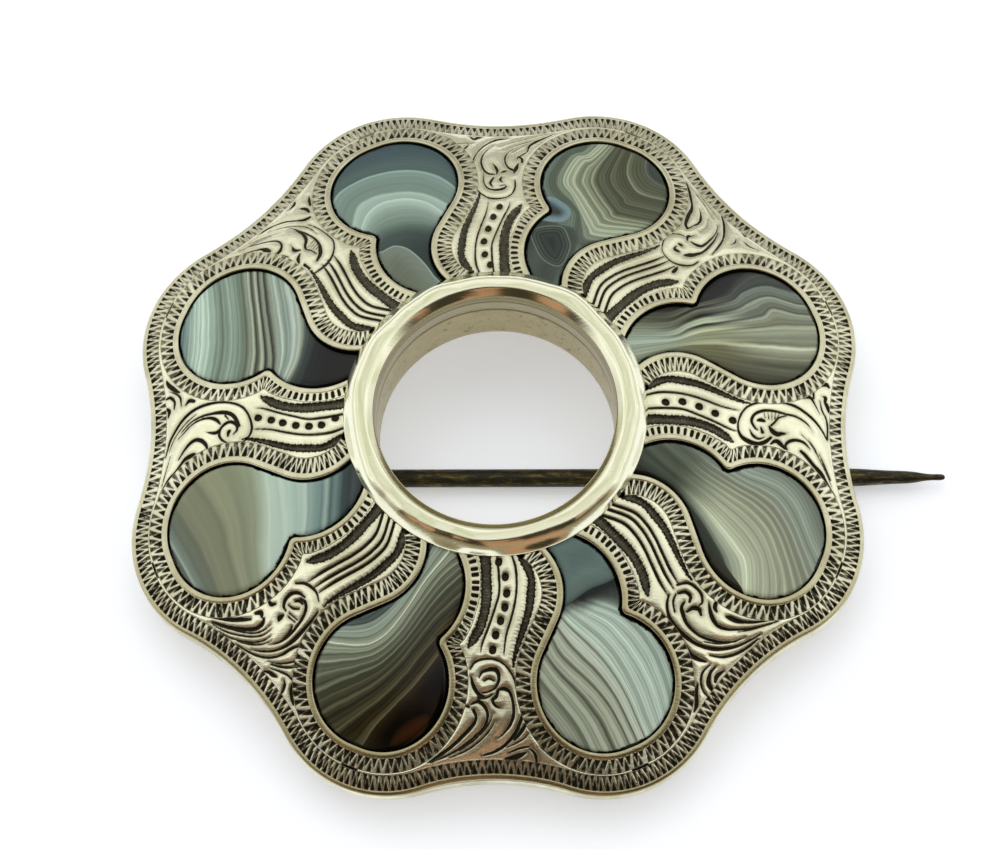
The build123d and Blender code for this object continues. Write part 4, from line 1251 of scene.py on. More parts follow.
# Each stone in its own frame, with X out through its head. Wobble is how far noise shifts the bands. Middle
# and depth are the grey that colours are drawn away from, and the power. Tone, thread and streak are the
# brightness and the strength of hair lines and streaks, where they aren't the usual. Fine is how many fine
# lines lie between two guide lines, and their strength. Lines are the banding's guide lines, as (x, y), each
# to the left of the one before. Zones give colours by place among the guide lines, from an x on. A patch is
# a closed outline, as (x, y), with colours by depth inside it. Colours are (red, green, blue) up to 255.
STONES = {
    1: {
        "wobble": 0.12, "middle": 0.215, "depth": 1.9, "fine": (3, 0.12),
        "lines": [
            [(9, -0.9), (11, -0.7), (13, -0.6), (14.5, -1.2), (16, -2), (18, -2.9), (20, -3.6),
             (22, -3.9)],
            [(9, 0), (11, -0.15), (13, -0.15), (15, -0.55), (17, -1.25), (19, -1.9), (21, -2.5),
             (23, -2.9)],
            [(9, 0.9), (10.5, 0.65), (12, 0.35), (13, 0.25), (14.5, 0.25), (16, 0.05), (18, -0.3),
             (20, -0.6), (22, -1), (23, -1.2)],
            [(9, 1.6), (10.5, 1.2), (12, 0.75), (13, 0.6), (14, 0.8), (15, 0.8), (16, 0.65), (18, 0.4),
             (19.2, 0.35), (19.9, 0.75), (20.6, 0.5), (21.5, 0), (23, -0.5)],
            [(9, 2.3), (10.5, 1.8), (12, 1.3), (13, 1.2), (14, 1.4), (15, 1.5), (16, 1.4), (17.5, 1.3),
             (18.5, 1.55), (19.5, 1.75), (20.3, 1.65), (21.2, 1.1), (22, 0.65), (23, 0.5)],
            [(9, 3), (10.5, 2.6), (12, 2.1), (13, 1.85), (14, 2), (15, 2.15), (16.5, 2.05), (17.7, 2.05),
             (18.5, 2.4), (19.5, 2.55), (20.5, 2.4), (21.3, 1.9), (22.2, 1.4), (23, 1.1)],
            [(9, 3.6), (11, 3.3), (13, 2.6), (14.5, 2.5), (16, 2.55), (17.3, 2.65), (18, 3), (18.8, 3.5),
             (19.8, 3.85), (21, 3.9), (22, 3.8)],
        ],
        "zones": [
            (11, [(-1, (58, 54, 38)), (0, (105, 110, 92)), (0.4, (130, 138, 120)), (0.9, (126, 134, 112)),
                 (1.4, (146, 156, 138)), (2, (136, 148, 137)), (2.5, (152, 165, 155)),
                 (3, (140, 153, 141)), (3.6, (138, 148, 135)), (4.2, (130, 138, 120)),
                 (5, (104, 108, 88)), (6, (72, 72, 50))]),
            (15, [(-1, (96, 92, 62)), (0.2, (122, 122, 88)), (0.8, (120, 121, 88)),
                 (1.1, (162, 167, 138)), (1.4, (140, 145, 118)), (2.1, (137, 142, 114)),
                 (2.4, (170, 176, 147)), (2.85, (128, 132, 106)), (3.02, (40, 40, 26)),
                 (3.12, (22, 26, 18)), (3.3, (160, 170, 148)), (3.7, (150, 160, 140)),
                 (3.95, (40, 46, 34)), (4.1, (20, 26, 18)), (4.3, (92, 98, 80)), (4.7, (122, 126, 108)),
                 (4.92, (40, 46, 38)), (5.05, (22, 24, 18)), (5.25, (112, 116, 98)),
                 (5.7, (100, 106, 90)), (5.9, (30, 32, 26)), (6.05, (24, 26, 22)), (6.3, (60, 64, 52)),
                 (7, (40, 42, 36))]),
            (18.5, [(-1, (92, 94, 74)), (-0.4, (114, 117, 98)), (0, (100, 103, 84)),
                 (0.35, (134, 138, 115)), (0.7, (138, 142, 122)), (1, (168, 174, 152)),
                 (1.15, (128, 134, 112)), (1.6, (138, 144, 124)), (2, (150, 158, 136)),
                 (2.2, (122, 126, 106)), (2.7, (134, 140, 118)), (3, (146, 154, 136)),
                 (3.15, (108, 114, 98)), (3.6, (122, 130, 116)), (4, (142, 152, 136)),
                 (4.12, (104, 112, 98)), (4.7, (120, 130, 118)), (5, (122, 132, 124)),
                 (5.1, (84, 92, 84)), (5.7, (90, 98, 92)), (6, (74, 80, 72)), (6.3, (52, 56, 54)),
                 (7, (40, 42, 38))]),
        ],
        "patches": [],
    },
    2: {
        "wobble": 0.12, "middle": 0.17, "depth": 1.2, "fine": (5, 0.2),
        "lines": [
            [(20.5, -4.4), (20.5, -3.2), (20.7, -2.5), (21.4, -1.9), (22.8, -1.5)],
            [(19.5, -4.6), (19.1, -2.6), (19.6, -1.6), (20.8, -0.8), (22.8, -0.5)],
            [(18.4, -4.6), (17.9, -2.1), (18.2, -1.6), (19, -0.5), (20.2, 0), (22.8, 0.1)],
            [(17.1, -4.5), (16.4, -1.8), (16.8, -1.1), (17.8, 0.2), (18.7, 0.9), (20, 1.05), (22.8, 0.7)],
            [(16.4, -4.2), (15.2, -1.2), (15.5, -0.5), (17, 1.2), (17.7, 2.1), (18.5, 2.35), (20.1, 2.25),
             (20.7, 1.7), (22.8, 1.2)],
            [(15.2, -3.4), (14.3, -1), (14.7, -0.4), (16, 0.8), (17, 1.8), (17.5, 2.5), (18.5, 2.8),
             (20.2, 2.7), (20.8, 2.1), (22.8, 1.6)],
            [(14.3, -2.5), (13.3, -0.6), (13.9, 0.1), (15.5, 0.6), (16.1, 1.4), (16.5, 2.6), (17.6, 3.4),
             (20, 3.4), (21, 2.8), (22.6, 2.4)],
        ],
        "zones": [
            (15, [(-1, (70, 80, 70)), (-0.2, (60, 70, 64)), (0, (96, 104, 92)), (0.15, (82, 88, 70)),
                 (0.8, (88, 92, 70)), (1, (122, 128, 108)), (1.12, (76, 80, 58)), (1.6, (80, 84, 62)),
                 (2, (98, 102, 80)), (2.15, (70, 74, 54)), (2.5, (92, 98, 76)), (2.8, (78, 82, 62)),
                 (3, (140, 146, 122)), (3.15, (104, 110, 88)), (3.4, (152, 160, 136)),
                 (3.6, (106, 114, 92)), (3.85, (168, 176, 152)), (4.05, (128, 136, 112)),
                 (4.3, (172, 183, 160)), (4.6, (140, 150, 128)), (4.9, (168, 178, 156)),
                 (5.05, (112, 122, 104)), (5.35, (128, 140, 124)), (5.6, (92, 102, 86)),
                 (6, (84, 96, 84)), (6.4, (104, 120, 108)), (7, (98, 112, 104)), (7.6, (88, 100, 90))]),
        ],
        "patches": [
            ([(9, 0.2), (11, 0), (13.2, -0.3), (14.3, 0.4), (14.2, 1.4), (14.2, 3.2), (9, 3.4)],
             [(0, (78, 90, 80)), (0.25, (62, 74, 66)), (1, (58, 68, 60)), (1.6, (70, 82, 74))]),
            ([(11.1, 0.1), (11.1, 1.3), (12.1, 2.45), (12.9, 2.9), (13.6, 2.4), (14.1, 1.2), (13.4, 0.4),
              (12.6, 0)],
             [(0, (112, 122, 112)), (0.06, (108, 118, 108)), (0.12, (40, 52, 44)), (0.26, (72, 84, 76)),
              (0.34, (34, 44, 38)), (0.48, (64, 76, 68)), (0.56, (30, 40, 34)), (0.75, (48, 58, 52)),
              (1.1, (32, 42, 36))]),
            ([(14.1, 2.8), (14.35, 1.5), (14.9, 1.05), (15.6, 1.15), (16, 1.8), (16.2, 2.9), (15.3, 3.3)],
             [(0, (96, 116, 112)), (0.1, (128, 152, 154)), (0.35, (112, 138, 146)),
              (0.55, (84, 106, 112)), (0.75, (56, 62, 58))]),
        ],
    },
    3: {
        "wobble": 0.06, "middle": 0.25, "depth": 1.4, "streak": 0.2, "fine": (4, 0.035),
        "lines": [
            [(14.9, 3.4), (15.4, 2.5), (15.6, 1.5), (15.4, 0.2), (14.9, -0.8), (14, -1.8)],
            [(15.8, 3.4), (17.1, 2.4), (17.6, 1.3), (17.5, 0.3), (17.1, -0.7), (16.2, -1.7),
             (14.8, -2.4)],
            [(16.5, 3.6), (18, 2.7), (18.35, 1.5), (18.1, 0.3), (17.6, -0.9), (16.7, -2), (15.2, -3)],
            [(18.6, 4.6), (19.8, 3.5), (20.2, 2), (20.2, 0.8), (19.9, -0.6), (19.2, -2), (18, -3.2),
             (16, -4.1)],
            [(20.6, 4.4), (21.2, 2.5), (21.3, 1), (21.1, -0.6), (20.5, -2.2), (19.5, -3.6), (17.8, -4.6)],
            [(21.7, 4), (22.6, 1.5), (22.6, -0.5), (21.9, -2.5), (20.2, -4.4)],
        ],
        "zones": [
            (12.5, [(-1, (58, 76, 72)), (5, (58, 76, 72))]),
            (14.8, [(-1, (80, 98, 94)), (-0.5, (98, 118, 110)), (0, (122, 142, 132)),
                 (0.5, (138, 158, 147)), (0.85, (160, 181, 170)), (0.98, (178, 198, 186)),
                 (1.04, (150, 170, 160)), (1.5, (154, 174, 165)), (1.94, (164, 184, 173)),
                 (2.04, (128, 149, 139)), (2.4, (122, 143, 134)), (2.88, (128, 152, 144)),
                 (2.98, (148, 170, 166)), (3.05, (90, 114, 108)), (3.5, (92, 114, 112)),
                 (4, (84, 106, 108)), (4.6, (76, 100, 106)), (5, (68, 88, 92))]),
        ],
        "patches": [
            ([(9, 0.05), (10.5, 0.1), (12, 0.4), (13.2, 0.9), (13.8, 1.6), (13.75, 2.4), (13.5, 3.4),
              (9, 3.6)],
             [(0, (150, 168, 158)), (0.07, (146, 164, 154)), (0.14, (122, 134, 124)),
              (0.6, (117, 129, 116)), (1.2, (108, 117, 101)), (2, (105, 110, 94))]),
        ],
    },
    4: {
        "wobble": 0.06, "middle": 0.25, "depth": 1.6, "fine": (5, 0.16),
        "lines": [
            [(11.2, 3.4), (11.5, 1.5), (11.6, 0.5), (11.6, -0.9)],
            [(13.6, 3.4), (13.5, 1.6), (13.7, 0.4), (14.1, -0.6), (15, -2.2), (16.4, -4.1)],
            [(14.5, 3.2), (15, 1.8), (15.7, 0.6), (16.6, -0.8), (17.6, -2.4), (19, -4.8)],
            [(15.9, 3.4), (16.4, 1.8), (17.1, 0.4), (18, -1.2), (19, -2.8), (20, -4.6)],
            [(17.4, 4.6), (17.9, 2.5), (18.6, 0.8), (19.6, -1), (20.6, -2.6), (21.6, -4.1)],
            [(19.5, 4.6), (20.1, 2.4), (20.9, 0.6), (21.7, -1), (22.6, -2.5)],
            [(21.1, 4), (21.9, 2), (22.5, 0.6), (23, -0.6)],
        ],
        "zones": [
            (15, [(-1, (34, 38, 26)), (-0.1, (24, 30, 20)), (0.05, (28, 40, 36)), (0.5, (42, 56, 54)),
                 (0.85, (84, 98, 92)), (1, (156, 167, 153)), (1.2, (164, 181, 170)),
                 (1.45, (130, 146, 136)), (1.6, (158, 174, 164)), (1.85, (132, 142, 126)),
                 (1.98, (48, 50, 36)), (2.1, (150, 160, 142)), (2.28, (108, 116, 98)),
                 (2.4, (40, 42, 30)), (2.52, (168, 178, 160)), (2.7, (126, 134, 114)),
                 (2.85, (58, 60, 44)), (3, (156, 168, 150)), (3.3, (112, 124, 104)),
                 (3.6, (126, 146, 130)), (4, (142, 162, 148)), (4.3, (118, 138, 124)),
                 (4.7, (150, 172, 158)), (5, (172, 192, 180)), (5.4, (158, 180, 168)),
                 (5.8, (124, 148, 143)), (6.1, (106, 130, 128)), (6.8, (66, 76, 68))]),
        ],
        "patches": [],
    },
    5: {
        "wobble": 0.08, "middle": 0.24, "depth": 1.15, "tone": 0.99, "streak": 0.15, "fine": (3, 0.03),
        "lines": [
            [(11.6, 3.6), (10.5, 1.2), (9.6, -0.6)],
            [(13.3, 3.6), (12.2, 1.4), (11.2, -0.8)],
            [(14.7, 3.4), (13.6, 1.4), (12.7, -0.9)],
            [(16.1, 4), (15, 1.4), (14.2, -1.8)],
            [(17.8, 4.8), (17.1, 2.4), (16.3, 0.6), (15.6, -1.4), (15.2, -3.4)],
            [(19.2, 4.8), (18.9, 1.5), (18.6, -0.5), (18.8, -2.4), (19.3, -4.8)],
            [(20.6, 4.6), (20.5, 2), (20.6, 0), (20.9, -2), (21.3, -4.4)],
            [(21.5, 3.8), (21.9, 1.6), (22.1, 0), (22.5, -2.4)],
        ],
        "zones": [
            (15, [(-1, (44, 54, 56)), (-0.2, (70, 80, 82)), (0, (48, 62, 64)), (0.3, (58, 78, 80)),
                 (0.6, (112, 136, 134)), (0.8, (82, 106, 106)), (1, (150, 172, 166)),
                 (1.2, (112, 138, 136)), (1.6, (134, 160, 156)), (1.9, (150, 172, 165)),
                 (2, (178, 198, 188)), (2.4, (164, 188, 178)), (3, (184, 204, 192)),
                 (3.3, (174, 195, 184)), (3.7, (183, 202, 188)), (3.85, (176, 194, 178)),
                 (4.2, (146, 155, 131)), (4.5, (134, 143, 117)), (4.9, (148, 153, 126)),
                 (5.1, (124, 130, 106)), (5.6, (133, 138, 115)), (5.95, (130, 135, 112)),
                 (6.04, (112, 119, 102)), (6.6, (110, 120, 107)), (6.9, (128, 143, 136)),
                 (7, (156, 172, 164)), (7.1, (100, 112, 104)), (7.5, (84, 92, 80))]),
        ],
        "patches": [],
    },
    6: {
        "wobble": 0.14, "middle": 0.085, "depth": 1.3, "fine": (4, 0.26),
        "lines": [
            [(9, 0.1), (11, -0.3), (12.5, -0.6), (14, -1), (15, -1.6), (15.8, -2.4), (16.4, -3.8)],
            [(9, 1.2), (10.5, 0.7), (12, 0.2), (13.5, -0.1), (15, -0.5), (16.2, -1.1), (17, -2.2),
             (17.5, -4.4)],
            [(9, 2.4), (11, 1.2), (12.5, 0.7), (14, 0.3), (15.5, -0.1), (16.8, -0.8), (17.6, -1.8),
             (18.2, -3), (18.9, -4.6)],
            [(9.5, 2.9), (11.5, 1.8), (13, 1.2), (14.5, 0.8), (16, 0.3), (17.5, -0.5), (18.5, -1.6),
             (19.6, -2.9), (20.8, -4.2)],
            [(11, 3.1), (12.5, 2.3), (14, 1.6), (15.5, 1.1), (17, 0.6), (18.5, -0.2), (19.8, -1.3),
             (21.4, -2.9)],
            [(12.6, 3.3), (14.5, 2.3), (16, 1.7), (17.5, 1.2), (19, 0.5), (20.4, -0.4), (22.2, -1.7)],
            [(14.5, 3.1), (16.5, 2.5), (18, 2), (19.5, 1.3), (21, 0.6), (22.8, 0.1)],
            [(15.6, 3.4), (17.5, 2.8), (19, 2.2), (20.5, 1.5), (22.8, 1)],
        ],
        "zones": [
            (15, [(-1, (62, 74, 76)), (-0.1, (76, 90, 86)), (0.05, (128, 140, 130)),
                 (0.4, (134, 148, 136)), (0.75, (112, 120, 104)), (1, (168, 178, 162)),
                 (1.15, (116, 124, 108)), (1.4, (140, 148, 128)), (1.7, (86, 92, 76)),
                 (2, (130, 137, 118)), (2.2, (78, 84, 68)), (2.5, (106, 112, 94)), (2.8, (62, 66, 48)),
                 (3, (108, 114, 94)), (3.2, (58, 60, 42)), (3.6, (84, 84, 62)), (3.8, (50, 50, 34)),
                 (4, (92, 92, 70)), (4.3, (48, 46, 28)), (4.7, (68, 64, 42)), (5, (88, 84, 60)),
                 (5.2, (42, 37, 18)), (5.7, (60, 52, 27)), (5.95, (98, 92, 68)), (6.1, (52, 42, 20)),
                 (6.6, (40, 29, 12)), (7.1, (26, 16, 6)), (8, (12, 8, 3))]),
        ],
        "patches": [
            ([(19.2, 3.5), (20.2, 3.6), (21.3, 2.7), (21.8, 1.9), (20.9, 1.9), (19.8, 2.6)],
             [(0, (26, 15, 6)), (0.25, (50, 27, 12)), (0.6, (66, 34, 13))]),
        ],
    },
    7: {
        "wobble": 0.08, "middle": 0.25, "depth": 1.8, "thread": -3, "fine": (5, 0.12),
        "lines": [
            [(15, -3.8), (17, -3.3), (19, -2.6), (20.5, -2.2), (22.4, -2)],
            [(14.2, -2.4), (15.8, -2.3), (17, -1.8), (18.8, -0.9), (20.5, -0.4), (22.8, -0.2)],
            [(13.7, -1.6), (15, -1.2), (16.3, -0.6), (18, 0.1), (20, 0.5), (22.8, 0.7)],
            [(13.4, -0.9), (14.6, -0.2), (16, 0.6), (17.5, 1.1), (19.5, 1.4), (21, 1.4), (22.8, 1.5)],
            [(13.4, -0.4), (14.3, 0.5), (15.3, 1.4), (16.8, 2), (18.5, 2.4), (20.3, 2.5), (22.4, 2.3)],
            [(13.3, 0.2), (14, 1.1), (15, 2.2), (16.3, 3), (18, 3.4), (20, 3.4), (21.9, 3.1)],
            [(13.2, 0.9), (13.9, 1.9), (14.8, 2.9), (16.2, 3.9), (18, 4.4), (20, 4.4)],
        ],
        "zones": [
            (13.2, [(-1, (44, 64, 64)), (3, (36, 54, 56)), (7, (28, 44, 48))]),
            (14.4, [(-1, (154, 162, 146)), (-0.55, (120, 128, 110)), (-0.3, (170, 180, 163)),
                 (0, (148, 157, 138)), (0.25, (168, 177, 160)), (0.48, (106, 112, 92)),
                 (0.65, (162, 170, 152)), (0.92, (166, 174, 156)), (1.08, (110, 116, 96)),
                 (1.25, (171, 180, 163)), (1.52, (166, 176, 160)), (1.68, (112, 118, 100)),
                 (1.85, (176, 187, 172)), (2.2, (172, 184, 171)), (2.35, (128, 137, 122)),
                 (2.5, (178, 195, 182)), (2.85, (166, 183, 172)), (3, (150, 166, 155)),
                 (3.3, (174, 192, 182)), (3.7, (158, 176, 166)), (4, (177, 196, 186)),
                 (4.3, (156, 174, 164)), (4.7, (172, 190, 180)), (5, (140, 160, 148)),
                 (5.3, (165, 184, 174)), (5.7, (128, 144, 132)), (6.2, (100, 112, 102))]),
        ],
        "patches": [
            ([(9, 0), (9.5, -0.9), (12, -1.1), (13.3, -0.9), (13, 1), (12.6, 3.2), (9.3, 3.4)],
             [(0, (62, 84, 80)), (0.3, (94, 116, 110)), (1, (104, 128, 124)), (1.8, (92, 114, 112))]),
        ],
    },
    8: {
        "wobble": 0.08, "middle": 0.23, "depth": 1.2, "tone": 1, "fine": (4, 0.11),
        "lines": [
            [(9, 0.3), (11, 0), (12.5, -0.3), (14, -0.9), (15, -1.5), (16, -2.2), (17, -3), (18.2, -4.6)],
            [(9, 1.1), (11.5, 0.4), (13, 0), (14.5, -0.5), (16, -1.2), (17.5, -2), (18.3, -2.7),
             (19.1, -4.6)],
            [(9.3, 1.8), (11.5, 1), (13, 0.6), (15, 0.1), (17, -0.5), (18.3, -1.2), (19.2, -2.1),
             (20.1, -4.3)],
            [(9.6, 2.3), (12, 1.5), (13.5, 1.1), (15.5, 0.8), (17.2, 0.5), (18.6, -0.1), (19.6, -1.1),
             (20.6, -2.4), (21.1, -3.8)],
            [(10.2, 2.8), (12.5, 2.1), (14, 1.7), (15.8, 1.5), (17.3, 1.4), (18.6, 1), (19.8, 0.1),
             (20.9, -1.1), (22, -2.5)],
            [(11.4, 3.3), (13.5, 2.6), (15, 2.3), (16.5, 2.2), (17.6, 2.2), (18.8, 1.9), (20.2, 0.9),
             (21.4, -0.3), (22.7, -1.6)],
            [(14, 3.2), (16, 2.8), (17.5, 3), (18.7, 3), (20, 2.3), (21.3, 1), (22.8, -0.3)],
            [(16, 4.1), (18, 4.1), (19.5, 3.8), (21, 2.7), (22.6, 0.9)],
        ],
        "zones": [
            (12, [(-1, (33, 37, 24)), (-0.1, (34, 38, 26)), (0.05, (48, 57, 45)), (1, (72, 83, 68)),
                 (1.5, (60, 70, 58)), (2, (88, 97, 81)), (3, (70, 80, 68)), (3.5, (98, 109, 96)),
                 (4.2, (84, 94, 82)), (5, (110, 120, 108)), (6, (88, 98, 88)), (7, (58, 70, 62))]),
            (16, [(-1, (36, 39, 29)), (-0.15, (56, 64, 52)), (0, (112, 124, 110)), (0.3, (153, 162, 145)),
                 (0.6, (166, 175, 154)), (1, (202, 211, 188)), (1.15, (181, 190, 165)),
                 (1.5, (172, 180, 156)), (1.85, (156, 164, 141)), (2.1, (174, 182, 158)),
                 (2.4, (146, 154, 133)), (2.7, (168, 177, 153)), (3, (138, 146, 123)),
                 (3.2, (170, 178, 155)), (3.5, (128, 134, 112)), (3.8, (162, 170, 150)),
                 (4, (114, 120, 100)), (4.2, (154, 162, 142)), (4.5, (116, 122, 105)),
                 (4.8, (156, 165, 149)), (5, (122, 130, 115)), (5.3, (152, 165, 152)),
                 (5.6, (122, 133, 120)), (6, (150, 164, 152)), (6.5, (130, 142, 132)),
                 (7, (114, 125, 114))]),
        ],
        "patches": [
            ([(16.2, -3.3), (16.7, -3.05), (17.5, -3.5), (18.8, -4.3), (18.6, -5), (17.2, -4.6),
              (16.3, -3.9)],
             [(0, (50, 50, 38)), (0.3, (42, 40, 28))]),
        ],
    },
}

STONE_TONE = 0.88
STONE_THREAD = 1.6
STONE_STREAK = 0.35
STONE_SINK = 0.12
STONE_GAP = 0.05
STONE_DEPTH = 1.3
STONE_WAVE = 0.012
STONE_ACROSS = 46
STONE_ALONG = 150

# A stone's bevel: distance inwards and height
BEVEL = [(0.0, -STONE_DEPTH), (0.0, -0.3), (0.05, -0.2), (0.12, -0.1), (0.22, -0.03), (0.4, 0.0)]

# Painted shadow: the black gap at a stone's edge, and the dark crescent that widens it at the cusp
GAP_SHADOW = (0.006, 0.005, 0.004)
CRESCENT = 0.16
CRESCENT_SHIFT = 0.6
CRESCENT_REACH = 1.3


def side_of(line, places, reach=8.0):
    """Distance of places from a line drawn on straight at both ends, positive on its left."""
    first, last = line[0] - line[1], line[-1] - line[-2]
    line = np.vstack([line[0] + first / np.linalg.norm(first) * reach, line,
                      line[-1] + last / np.linalg.norm(last) * reach])
    return signed_distance(places, line[:-1], np.diff(line, axis=0))


def band_place(lines, places):
    """Number of the guide line below each place plus how far it is on the way to the next.

    Before the first line and beyond the last one it goes on by a distance in millimetres.
    """
    sides = np.array([side_of(smooth_line(line), places) for line in lines])
    share = sides[:-1] / np.maximum(sides[:-1] - sides[1:], 1e-6)
    value = np.where(sides[:-1] <= 0, 0, np.where(sides[1:] >= 0, 1, share)).sum(0)
    beyond = np.where(sides[0] >= 0, np.maximum(sides[-1], 0), 0)
    return value + np.minimum(sides[0], 0) + beyond


def patch_depth(corners, places):
    """Depth of places inside a closed smooth patch, negative outside.

    A place is inside where an odd number of the patch's sides lies straight to its right.
    """
    ring = np.array(corners + corners[:3], float)
    line = smooth_line(ring, 6)[6:-6]
    gap = to_runs(places, line[:-1], np.diff(line, axis=0))[1]
    away = np.linalg.norm(gap, axis=-1).min(1)
    x, y = places.T[..., None]
    line_x, line_y = line.T
    next_x, next_y = np.roll(line, -1, 0).T
    spans = (line_y > y) != (next_y > y)
    rise = next_y - line_y
    rise = np.where(np.abs(rise) < 1e-12, 1e-12, rise)
    right = x < (next_x - line_x) * (y - line_y) / rise + line_x
    return np.where((spans & right).sum(1) % 2 == 1, away, -away)


def stone(number):
    """Closed stone: chords from its front side to its back side, a bevel, the front's height less a sink."""
    table = STONES[number]
    edge = path - path_out * STONE_GAP
    tip = path_marks["tip"]
    share = 0.5 - 0.5 * np.cos(np.linspace(0.0, math.pi * 0.985, STONE_ALONG))
    share = 0.5 * share + 0.5 * np.linspace(0, 0.998, STONE_ALONG)
    front = sampled(edge, path_along, share * tip)
    behind = sampled(edge, path_along, path_along[-1] - share * (path_along[-1] - tip))
    chord = np.linalg.norm(behind - front, axis=1)
    rim, drop = np.array(BEVEL).T
    inset = np.minimum(rim[:, None] / chord, 0.02 + 0.06 * np.arange(len(rim))[:, None])
    inner = np.linspace(0, 1, STONE_ACROSS)[1:-1, None]
    across = np.vstack([inset, inset[-1] + (1 - 2 * inset[-1]) * inner, 1 - inset[::-1]])
    height = np.concatenate([drop, np.zeros(STONE_ACROSS - 2), drop[::-1]])[:, None]
    local = front + (behind - front) * across[..., None]
    flat = spun(local, FIRST_LOBE_DEG + (number - 1) * STEP_DEG)
    wave = STONE_WAVE * np.sin(local[..., 0] * 1.1 + number) * np.sin(local[..., 1] * 0.9 + 2 * number)
    high = front_height(flat) - STONE_SINK + height + wave * (height == 0)
    points = np.concatenate([flat, high[..., None]], -1).reshape(-1, 3)
    rows = len(height)
    faces = grid_faces(rows, STONE_ALONG, close_rows=True)
    ends = [(np.arange(rows) * STONE_ALONG)[::-1], np.arange(rows) * STONE_ALONG + STONE_ALONG - 1]
    places = local.reshape(-1, 2)
    # Painted shadow: a dark crescent near the cusp, taken off the distance from the edge
    dark = sampled(path, path_along, path_marks["cusp"]) + (CRESCENT_SHIFT, 0)
    crescent = CRESCENT * np.exp(-((np.linalg.norm(places - dark, axis=1) / CRESCENT_REACH) ** 2))
    close = np.linalg.norm(places[:, None] - path[None, ::8], axis=-1).min(1)
    layers = {"band": band_place(table["lines"], places), "close": close - crescent}
    for index, (corners, _) in enumerate(table["patches"]):
        layers[f"patch_{index}"] = patch_depth(corners, places)
    make_piece(f"agate_stone_{number}", points, faces, f"agate_{number}", agate_finish(number),
               f"agate_{number}", ends, **layers)


def paint(colour, middle=None, depth=1.0):
    """Screen colour up to 255 as the light that it stands for, drawn away from a middle grey by a power."""
    value = np.array(colour) / 255
    light = np.where(value <= 0.04045, value / 12.92, ((value + 0.055) / 1.055) ** 2.4)
    if middle is not None:
        light = light * (max(light.mean(), 1e-4) / middle) ** (depth - 1)
    return tuple(float(v) for v in light)


def agate_finish(number):
    """Polished agate: colours by place among the guide lines, fine lines and streaks, and patches.

    Wave is a sine of the place, thread the fifth power of a quicker one, and streak a noise drawn out along
    the bands. Together they make the colour lighter or darker.
    """
    table = STONES[number]
    f = Finish(f"agate_{number}_stone")
    local = f.place(FIRST_LOBE_DEG + (number - 1) * STEP_DEG)
    x, y = f.part(local, 0), f.part(local, 1)
    wobble = f.noise(local, 0.8, 3.0, 0.55)
    band = f.attribute("band") + (wobble - 0.5) * table["wobble"]
    low, span = -1.5, len(table["lines"]) + 2.0
    place = (band - low) / span

    def colours(stops):
        tones = [paint(rgb, table["middle"], table["depth"]) for _, rgb in stops]
        return f.ramp(place, [((v - low) / span, tone) for (v, _), tone in zip(stops, tones)])

    zones = table["zones"]
    colour = colours(zones[0][1])
    for (before, _), (here, stops) in zip(zones, zones[1:]):
        colour = f.mix((x + (wobble - 0.5) * 0.8).rise(before, here), colour, colours(stops))
    count, strength = table["fine"]
    turns = math.tau * count
    streak = f.noise(f.node("CombineXYZ", {0: band * 9.0, 1: x * 0.3, 2: y * 0.3}), 1.0, 3.0, 0.6)
    wave = (band * turns + streak * 2.5).sine()
    thread = (band * (turns * 1.7) + streak * 5.0).sine().at_least(0.0) ** 5.0
    lines = strength * (wave + table.get("thread", STONE_THREAD) * thread)
    streaks = (streak - 0.5) * (table.get("streak", STONE_STREAK) + strength)
    colour = f.scaled(colour, table.get("tone", STONE_TONE) * (1 + lines + streaks))
    for index, (_, stops) in enumerate(table["patches"]):
        depth = f.attribute(f"patch_{index}")
        far = stops[-1][0]
        inner = f.ramp(depth / far, [(v / far, paint(rgb)) for v, rgb in stops])
        inner = f.scaled(inner, STONE_TONE * (0.8 + 0.4 * streak))
        colour = f.mix(depth.rise(-0.03, 0.03), colour, inner)
    ragged = (f.noise(local, 0.7, 2.0) - 0.5) * 0.45 + (f.noise(local, 4.0, 3.0) - 0.5) * 0.2
    # Painted shadow along the stone's edge, widened at the cusp
    colour = f.mix((f.attribute("close") + ragged).rise(0.11, 0.21), GAP_SHADOW, colour)
    scuff = f.scratches(f.place(), 20 * number, 6, 0.25, number)
    return f.set(Base_Color=colour, Roughness=0.07, Specular_IOR_Level=0.25, IOR=1.54,
                 Normal=f.bump(scuff, 0.002))


# Scene

engraved = engraved_finish()
polished = polished_finish()
bore_silver = bore_finish()

field_rim = rim_border()
for number in range(1, LOBES + 1):
    stone_border(number, FIRST_LOBE_DEG + (number - 1) * STEP_DEG)
kept_cells, border_gap = field_domain(field_rim)
field_faces, field_ring = field_edges(kept_cells)
for number in range(LOBES):
    arm_field(number, field_faces, field_ring, border_gap)
turned("bore_tube", tube_profile(), 192, "frame", bore_silver, "silver_polished")
turned("ring", ring_profile(), 320, "centre_ring", polished, "silver_polished", ring_wave)

nodes["back_plate"].data.materials[0] = back_finish()
brass = pin_finish()
for name in ("pin", "hinge_rivet"):
    nodes[name].data.materials[0] = brass
for number in range(1, LOBES + 1):
    stone(number)

# Camera, from the photograph's view
ELEVATION = 1.21128443
AZIMUTH = 0.06981317
ROLL = -0.06814857
DISTANCE = 174.708
TARGET = (0.1726, 1.0013, 0.0)
LENS = 95.6

